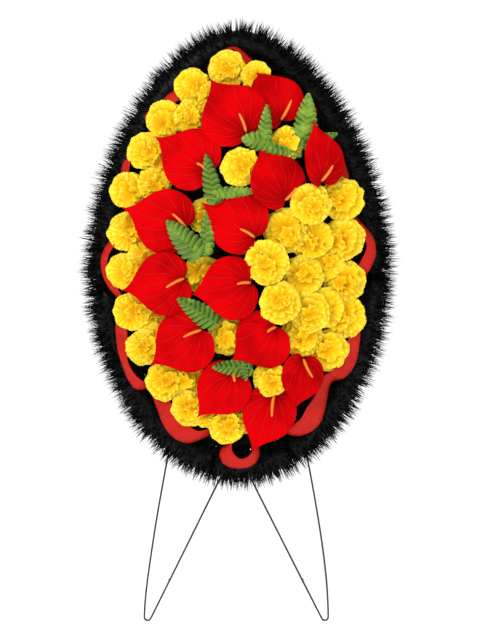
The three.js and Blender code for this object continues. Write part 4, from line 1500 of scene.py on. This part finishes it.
def read_blooms(node: str) -> list[BloomPose]:
    """Args: node: a spray's node. Returns: its blooms."""
    solid = PLANE.solid(node)
    points = solid.points()
    feet = solid.stem_feet()
    foot_w = float(points[:, 2].min())
    high = points[points[:, 2] > foot_w + BLOOM_CLEAR]
    away = np.stack([np.linalg.norm(high[:, :2] - foot, axis=1) for foot in feet])
    owner = away.argmin(axis=0)
    blooms = []
    for index, foot in enumerate(feet):
        own = high[owner == index]
        reach = away[index][owner == index]
        far = own[reach > reach.max() * RIM_FROM]
        radius = float(reach.max()) / PAST_RIM
        rim_w = float(np.median(far[:, 2]))
        top = own[own[:, 2] > rim_w + TUFT_FROM * radius]
        tuft = top[:, :2].mean(axis=0) - foot if len(top) > 2 else np.zeros(2)
        blooms.append(BloomPose(foot, radius, rim_w, tuft, foot_w))
    return blooms


@dataclass(frozen=True)
class PetalRow:
    """One layer of a carnation's petals, in shares of the bloom's radius.

    reach and rise place its rim and its middle, cup lifts the rim, pleats of the height pleat and
    slow waves of the height sway run round it, ragged makes its outline uneven, follow moves it
    with the bloom's tuft and stray sets it off centre.
    """

    reach: float
    rise: float
    cup: float
    pleats: int
    pleat: float
    sway: float
    ragged: float
    follow: float
    stray: float
    sides: int


PETAL_ROWS = (
    PetalRow(1.01, -0.07, 0.03, 23, 0.03, 0.06, 0.05, 0.0, 0.0, 90),
    PetalRow(0.93, -0.02, 0.07, 19, 0.04, 0.08, 0.08, 0.06, 0.05, 84),
    PetalRow(0.72, 0.04, 0.1, 13, 0.04, 0.15, 0.17, 0.4, 0.14, 66),
    PetalRow(0.52, 0.08, 0.17, 9, 0.045, 0.18, 0.23, 0.8, 0.17, 54),
    PetalRow(0.34, 0.12, 0.2, 6, 0.04, 0.16, 0.26, 1.0, 0.12, 42),
)


# The sprays of the close cluster at the right, whose petals are pulled out over each other.
CLUSTER = range(16, 23)
CLUSTER_SWELL = 1.09
# The sprays that lie on top of a spathe beside them, and that spathe, by their numbers.
UNDERNEATH = {15: 13, 16: 5, 19: 7}


def ripple(turn: np.ndarray, orders: Sequence[int], chance: np.random.Generator) -> np.ndarray:
    """Args: turn: angles. orders: how many waves each part has. chance: random. Returns: their sum."""
    total = np.zeros_like(turn)
    for order in orders:
        total += chance.uniform(0.5, 1.0) * np.sin(order * turn + chance.uniform(0, 2 * math.pi))
    return total / math.sqrt(len(orders))


@dataclass
class CarnationSpray:
    """Carnations bound together: pleated petals on a calyx and a stem, and the binding wire."""

    node: str
    seed: int
    roof: BVHTree
    steps: tuple[float, ...] = (0.42, 0.68, 0.88, 1.0)
    swell: float = 1.0
    clearance: float = 2.2
    roof_below: float = 9.0
    roof_above: float = 60.0
    thickness: float = 0.6
    tooth: float = 0.014
    crumple: float = 0.014
    slip: float = 0.4
    stem_radius: float = 2.0
    stem_below: float = 0.06
    calyx_below: float = 0.33
    calyx_radii: tuple[float, ...] = (4.5, 6.0, 6.5)
    low_calyx_radii: tuple[float, ...] = (4.0, 6.0, 6.5)
    binding_radius: float = 1.5

    def build(self, finishes: Sequence[bpy.types.Material]) -> bpy.types.Object:
        """Args: finishes: the petals' and the stems' materials. Returns: the piece."""
        blooms = read_blooms(self.node)
        parts = MeshParts()
        chance = np.random.default_rng(self.seed)
        for bloom in blooms:
            for row in PETAL_ROWS:
                self.add_disc(parts, bloom, row, chance)
            self.add_stem(parts, bloom)
        for first, second in zip(blooms, blooms[1:]):
            level = first.foot_w + self.binding_radius
            stops = (first.centre, (first.centre + second.centre) / 2, second.centre)
            line = np.array([[*stop, level] for stop in stops])
            parts.add(*tube(line, [self.binding_radius] * len(line), 6), 1)
        return settle(parts.to_object(self.node + "_spray", finishes), Slot.CARNATION, self.node)

    def add_disc(
        self, parts: MeshParts, bloom: BloomPose, row: PetalRow, chance: np.random.Generator
    ) -> None:
        """Args: parts: where the shell goes. bloom, row: what is made. chance: its random numbers."""
        turn = np.linspace(0, 2 * math.pi, row.sides, endpoint=False)
        fold = ripple(turn, range(row.pleats - 2, row.pleats + 3), chance)
        slip = ripple(turn, range(row.pleats - 2, row.pleats + 3), chance) * self.slip / row.pleats
        sway = ripple(turn, (1, 2, 3, 4, 5), chance)
        outline = ripple(turn, (2, 3, 5, 7, 8, 11), chance)
        teeth = np.where(np.arange(row.sides) % 2 == 0, self.tooth, -self.tooth)
        away = chance.normal(0, row.stray * bloom.radius, 2)
        lean = chance.uniform(0, 2 * math.pi)
        middle = np.array([*(bloom.centre + bloom.tuft * row.follow + away), bloom.rim_w])
        points, folds, reaches = [middle + [0, 0, bloom.radius * row.rise]], [0.0], [0.3]
        for step in self.steps:
            out = self.swell * row.reach * step * (1 + row.ragged * outline * step + teeth * (step == 1))
            angle = turn + slip * step
            rise = row.rise + row.cup * step**1.5 + row.pleat * fold * step**1.2 + row.sway * sway * step**2
            rise = rise + row.stray * step * np.sin(turn + lean)
            ring = np.column_stack([np.cos(angle) * out, np.sin(angle) * out, rise])
            ring += chance.normal(0, self.crumple * step * (0.2 + row.follow), ring.shape)
            points.extend(middle + ring * bloom.radius)
            # The fold's height and the distance out also place the painted shade: orange towards the middle,
            # on the inner rows and in the fold hollows.
            folds.extend(fold * step)
            reaches.extend(np.full(row.sides, (0.22 + 0.7 * step) * (0.86 + 0.14 * row.reach)))
        upper = self.under_roof(np.array(points), bloom.rim_w)
        corners = np.concatenate([upper, upper - [0, 0, self.thickness]])
        spokes = np.concatenate([[0.0], np.tile(turn, len(self.steps))])
        numbers = {"fold": folds, "reach": reaches, "spoke_x": np.cos(spokes), "spoke_y": np.sin(spokes)}
        doubled = {name: np.tile(values, 2) for name, values in numbers.items()}
        parts.add(corners, disc_faces(len(self.steps), row.sides), 0, **doubled)

    def under_roof(self, points: np.ndarray, rim_w: float) -> np.ndarray:
        """Presses petals down where a spathe lies over them.

        Args:
            points: the petals' points.
            rim_w: the level of the bloom's rim.

        Returns:
            The points, none of them in a spathe that covers the bloom.
        """
        pressed = points.copy()
        for spot in pressed:
            start = Vector((spot[0], spot[1], rim_w - self.roof_below))
            hit = self.roof.ray_cast(start, Vector((0, 0, 1)), self.roof_above)[0]
            if hit is not None:
                spot[2] = min(spot[2], hit.z - self.clearance)
        return pressed

    def add_stem(self, parts: MeshParts, bloom: BloomPose) -> None:
        """Args: parts: where the shell goes. bloom: the bloom that it carries."""
        hub = self.under_roof(np.array([[*bloom.centre, bloom.rim_w]]), bloom.rim_w)[0]
        top = float(hub[2]) - self.stem_below * bloom.radius
        calyx = bloom.rim_w - self.calyx_below * bloom.radius
        levels = [bloom.foot_w, calyx - 3, calyx, calyx + 4, top]
        radii = [self.stem_radius, self.stem_radius, *self.calyx_radii]
        if calyx - 3 <= bloom.foot_w:
            levels, radii = [bloom.foot_w, top - 1, top], list(self.low_calyx_radii)
        line = np.array([[*bloom.centre, w] for w in levels])
        parts.add(*tube(line, radii, 8), 1)


# ---------------------------------------------------------------- ferns


@dataclass(frozen=True)
class Frond:
    """One frond: where it starts and ends, seen from the foot of its sprig's stem, in millimetres."""

    start: tuple[float, float]
    stop: tuple[float, float]
    half: float
    shade: float = 0.5


FERN_SPRIGS: dict[str, tuple[Frond, ...]] = {
    "fern_01": (Frond((-1, -22), (-18, 76), 19, 0.34), Frond((-4, -2), (90, 4), 12, 0.62)),
    "fern_02": (
        Frond((2, -10), (10, 72), 15, 0.6),
        Frond((10, -2), (-40, 4), 21, 0.55),
        Frond((-2, -8), (78, -30), 11, 0.6),
    ),
    "fern_03": (Frond((-4, -6), (6, 102), 26, 0.66), Frond((-6, -2), (64, 22), 14, 0.5)),
    "fern_04": (Frond((-10, -9), (-75, 64), 28, 0.45), Frond((4, -3), (4, 85), 15, 0.62)),
    "fern_05": (Frond((10, -12), (-68, 39), 24, 0.5),),
    "fern_06": (Frond((4, -1), (-75, 2), 19, 0.36), Frond((-16, 7), (-8, -25), 9, 0.5)),
}


@dataclass
class FernSprig:
    """A sprig of moulded fern: each frond has a rib with saw-edged pinnae down both sides.

    A pinna's shares and profile are places along it and how wide it is there.
    """

    node: str
    pinna_pitch: float = 10.5
    pinna_half: float = 0.62
    pinna_shares: tuple[float, ...] = (0, 0.25, 0.5, 0.68, 0.82, 0.92, 1)
    pinna_profile: tuple[float, ...] = (1.0, 1.0, 0.98, 0.92, 0.8, 0.58, 0.14)
    pinna_droop: float = 2.2
    root_lean: float = 76
    tip_lean: float = 48
    thickness: float = 0.7
    rib_points: int = 12
    rib_sides: int = 6
    rib_radii: tuple[float, float] = (1.1, 0.4)
    rib_shade: float = 0.8
    stem_radius: float = 2.0

    def build(self, finishes: Sequence[bpy.types.Material]) -> bpy.types.Object:
        """Args: finishes: the leaf's and the stem's materials. Returns: the piece."""
        solid = PLANE.solid(self.node)
        foot = solid.stem_feet()[0]
        foot_w = float(solid.points()[:, 2].min())
        tree = solid.tree()
        parts = MeshParts()
        top = self.surface_at(tree, foot, 100.0)
        line = np.array([[*foot, w] for w in np.linspace(foot_w, top - 0.5, 4)])
        parts.add(*tube(line, [self.stem_radius] * len(line), 8), 1)
        for frond in FERN_SPRIGS[self.node]:
            self.add_frond(parts, tree, foot, frond)
        return settle(parts.to_object(self.node + "_sprig", finishes, smooth=False), Slot.FERN, self.node)

    @staticmethod
    def surface_at(tree: BVHTree, spot: np.ndarray, default: float) -> float:
        """Args: tree: the solid. spot: (x, v). default: used off the solid. Returns: the top there."""
        hit = tree.ray_cast(Vector((*spot, 400.0)), Vector((0, 0, -1)))
        return default if hit[0] is None or hit[0].z < 30 else float(hit[0].z)

    def rib_heights(self, tree: BVHTree, start: np.ndarray, stop: np.ndarray) -> np.ndarray:
        """Args: tree: the solid. start, stop: the rib's ends. Returns: a line fitted to its height."""
        shares = np.linspace(0.04, 0.92, 12)
        found = [(s, self.surface_at(tree, start + (stop - start) * s, math.nan)) for s in shares]
        known = np.array([pair for pair in found if not math.isnan(pair[1])])
        return np.polyfit(known[:, 0], known[:, 1], 2 if len(known) > 5 else 1)

    def add_frond(self, parts: MeshParts, tree: BVHTree, foot: np.ndarray, frond: Frond) -> None:
        """Args: parts: where the shells go. tree: the solid. foot: the stem's foot. frond: its plan."""
        start, stop = foot + frond.start, foot + frond.stop
        long = float(np.linalg.norm(stop - start))
        along = (stop - start) / long
        left = np.array([-along[1], along[0]])
        heights = self.rib_heights(tree, start, stop)
        pairs = max(5, round(long / self.pinna_pitch))
        share = np.linspace(0, 1, self.rib_points)
        rib = np.column_stack([start + np.outer(share * long, along), np.polyval(heights, share)])
        corners, faces = tube(rib, np.linspace(*self.rib_radii, self.rib_points), self.rib_sides)
        shade = np.full(len(corners), frond.shade)
        parts.add(corners, faces, 0, rib=np.full(len(corners), self.rib_shade), shade=shade)
        for number in range(pairs):
            place = (number + 0.35) / pairs
            reach = frond.half * (1 - place**1.9) * min(1.0, 0.72 + 1.6 * place) + 1.2
            for side in (-1, 1):
                lean = math.radians(self.root_lean - (self.root_lean - self.tip_lean) * place)
                out = math.cos(lean) * along + side * math.sin(lean) * left
                root = start + along * long * place
                level = float(np.polyval(heights, place)) + 0.25 * (number % 2)
                self.add_pinna(parts, root, out, reach / math.sin(lean), long / pairs, level, frond.shade)

    def add_pinna(
        self,
        parts: MeshParts,
        root: np.ndarray,
        out: np.ndarray,
        long: float,
        pitch: float,
        level: float,
        shade: float,
    ) -> None:
        """Adds one pinna, with a ridge along its middle and one edge tucked under the next.

        Args:
            parts: where the shell goes.
            root: where it leaves the rib.
            out: the way it points.
            long: its length.
            pitch: how far it is to the next one.
            level: the height of its root.
            shade: how pale it is.
        """
        steps = len(self.pinna_shares)
        aside = np.array([-out[1], out[0]])
        share = np.array(self.pinna_shares)
        half = pitch * self.pinna_half * np.array(self.pinna_profile)
        middle = root + np.outer(share * long, out)
        droop = level - self.pinna_droop * share**2
        crown = np.column_stack([middle, droop + 0.8])
        one = np.column_stack([middle + half[:, None] * aside, droop + 0.5])
        two = np.column_stack([middle - half[:, None] * aside, droop - 0.9])
        back = np.column_stack([middle, droop + 0.8 - self.thickness])
        corners = np.stack([one, crown, two, back], axis=1).reshape(-1, 3)
        # A painted highlight along one edge and on the crown of each pinna, none on the other edge or the
        # back.
        rib = np.tile([0.95, 0.35, -0.4, 0.0], steps)
        parts.add(corners, ring_faces(steps, 4), 0, rib=rib, shade=np.full(len(rib), shade))


# ---------------------------------------------------------------- camera, light and floor


@dataclass
class Studio:
    """A plain pale floor, soft light and a camera square to the wreath's face."""

    distance: float = 9000
    aim: tuple[float, float] = (2, 598)
    view_height: float = 1280
    sensor: float = 36
    floor_half: float = 60
    floor_grey: float = 0.92
    floor_glow: float = 0.55
    world_strength: float = 0.55
    lamps: tuple[tuple[str, tuple[float, float, float], float, float], ...] = (
        ("key_light", (-1500, 2300, 2600), 1.6, 55),
        ("fill_light", (2200, 900, 2600), 2.4, 16.5),
    )

    def build(self) -> None:
        """Makes the camera, the floor and the lights."""
        matrix = PLANE.matrix()
        turn = matrix.to_3x3().normalized().to_4x4()
        data = bpy.data.cameras.new("camera")
        data.sensor_width = self.sensor
        data.lens = self.sensor * self.distance / self.view_height
        data.clip_end = 100
        camera = bpy.data.objects.new("camera", data)
        camera.matrix_world = Matrix.Translation(matrix @ Vector((*self.aim, self.distance))) @ turn
        bpy.context.scene.collection.objects.link(camera)
        bpy.context.scene.camera = camera
        self.build_floor()
        self.build_lights(matrix)

    def build_floor(self) -> None:
        """Makes the floor."""
        sheet = ShaderSheet("pale_floor")
        sheet.shader.inputs["Base Color"].default_value = (*[self.floor_grey] * 3, 1)
        sheet.surface(1.0, 0.0)
        sheet.shader.inputs["Emission Color"].default_value = (1, 1, 1, 1)
        sheet.shader.inputs["Emission Strength"].default_value = self.floor_glow
        mesh = bpy.data.meshes.new("floor")
        edge = self.floor_half
        corners = [(-edge, -edge, 0), (edge, -edge, 0), (edge, edge, 0), (-edge, edge, 0)]
        mesh.from_pydata(corners, [], [(0, 1, 2, 3)])
        mesh.materials.append(sheet.material)
        floor = bpy.data.objects.new("floor", mesh)
        bpy.context.scene.collection.objects.link(floor)

    def build_lights(self, matrix: Matrix) -> None:
        """Args: matrix: the wreath's plane. The key light is high on the left, with a wide fill."""
        world = bpy.data.worlds.new("studio")
        world.use_nodes = True
        world.node_tree.nodes["Background"].inputs["Color"].default_value = (1, 1, 1, 1)
        world.node_tree.nodes["Background"].inputs["Strength"].default_value = self.world_strength
        bpy.context.scene.world = world
        middle = matrix @ Vector((0, self.aim[1], 0))
        for name, place, size, power in self.lamps:
            data = bpy.data.lights.new(name, "AREA")
            data.energy = power
            data.size = size
            lamp = bpy.data.objects.new(name, data)
            lamp.location = matrix @ Vector(place)
            lamp.rotation_mode = "QUATERNION"
            lamp.rotation_quaternion = (middle - lamp.location).to_track_quat("-Z", "Y")
            bpy.context.scene.collection.objects.link(lamp)
        bpy.context.scene.view_settings.view_transform = "Standard"


# ---------------------------------------------------------------- the whole wreath


# The spathes that are folded down along the midrib, by number, and how deep, in millimetres.
CREASES = {13: 9.0, 14: 10.0}
ANTHURIUMS = range(1, 15)
SPRAYS = range(1, 23)


def build_anthuriums(green: bpy.types.Material) -> None:
    """Args: green: the stems' material. Makes the 14 anthuriums."""
    # After the red come the painted highlight along the veins and the painted shade.
    red = SpatheFinish(
        "flocked_red", (0.68, 0.0, 0.002), (0.95, 0.03, 0.02), (0.36, 0.0, 0.001), Anthurium.vein_spacing
    ).material()
    orange = PlainFinish("orange_spadix", (0.9, 0.22, 0.008), 0.5, grain_scale=900).material()
    for number in ANTHURIUMS:
        flower = Anthurium(f"anthurium_{number:02d}", seed=100 + number, crease=CREASES.get(number, 0.0))
        flower.build([red, orange, green])


def build_carnations(green: bpy.types.Material) -> None:
    """Args: green: the stems' material. Makes the 22 sprays, each under the spathes that cover it."""
    # The first colour is the orange of the painted shade in the middle and the fold hollows.
    yellow = PetalFinish(
        "yellow_petals", (0.66, 0.23, 0.0), (0.9, 0.47, 0.002), (0.95, 0.64, 0.008), (0.99, 0.83, 0.08)
    ).material()
    for number in SPRAYS:
        covering = [over for over in ANTHURIUMS if over != UNDERNEATH.get(number)]
        roof = joined_tree([f"anthurium_{over:02d}" for over in covering])
        swell = CLUSTER_SWELL if number in CLUSTER else 1.0
        spray = CarnationSpray(f"carnations_{number:02d}", seed=200 + number, roof=roof, swell=swell)
        spray.build([yellow, green])


def build_ferns(green: bpy.types.Material) -> None:
    """Args: green: the stems' material. Makes the sprigs."""
    # pale is the colour of the ribs and of the painted highlight on the pinnae.
    dark, middle, pale = (0.006, 0.024, 0.001), (0.035, 0.12, 0.002), (0.3, 0.45, 0.05)
    leaf = LeafFinish("moulded_fern", dark, middle, pale).material()
    for node in FERN_SPRIGS:
        FernSprig(node).build([leaf, green])


def main() -> None:
    """Builds the studio and every piece of the wreath in order."""
    logging.basicConfig(level=logging.INFO, format="%(name)s %(message)s")
    Studio().build()
    WireFrame().build()
    Garland().build()
    Ribbons().build()
    green = PlainFinish("green_stem", (0.06, 0.13, 0.02), 0.55).material()
    build_anthuriums(green)
    build_carnations(green)
    build_ferns(green)


if __name__ == "__main__":
    main()
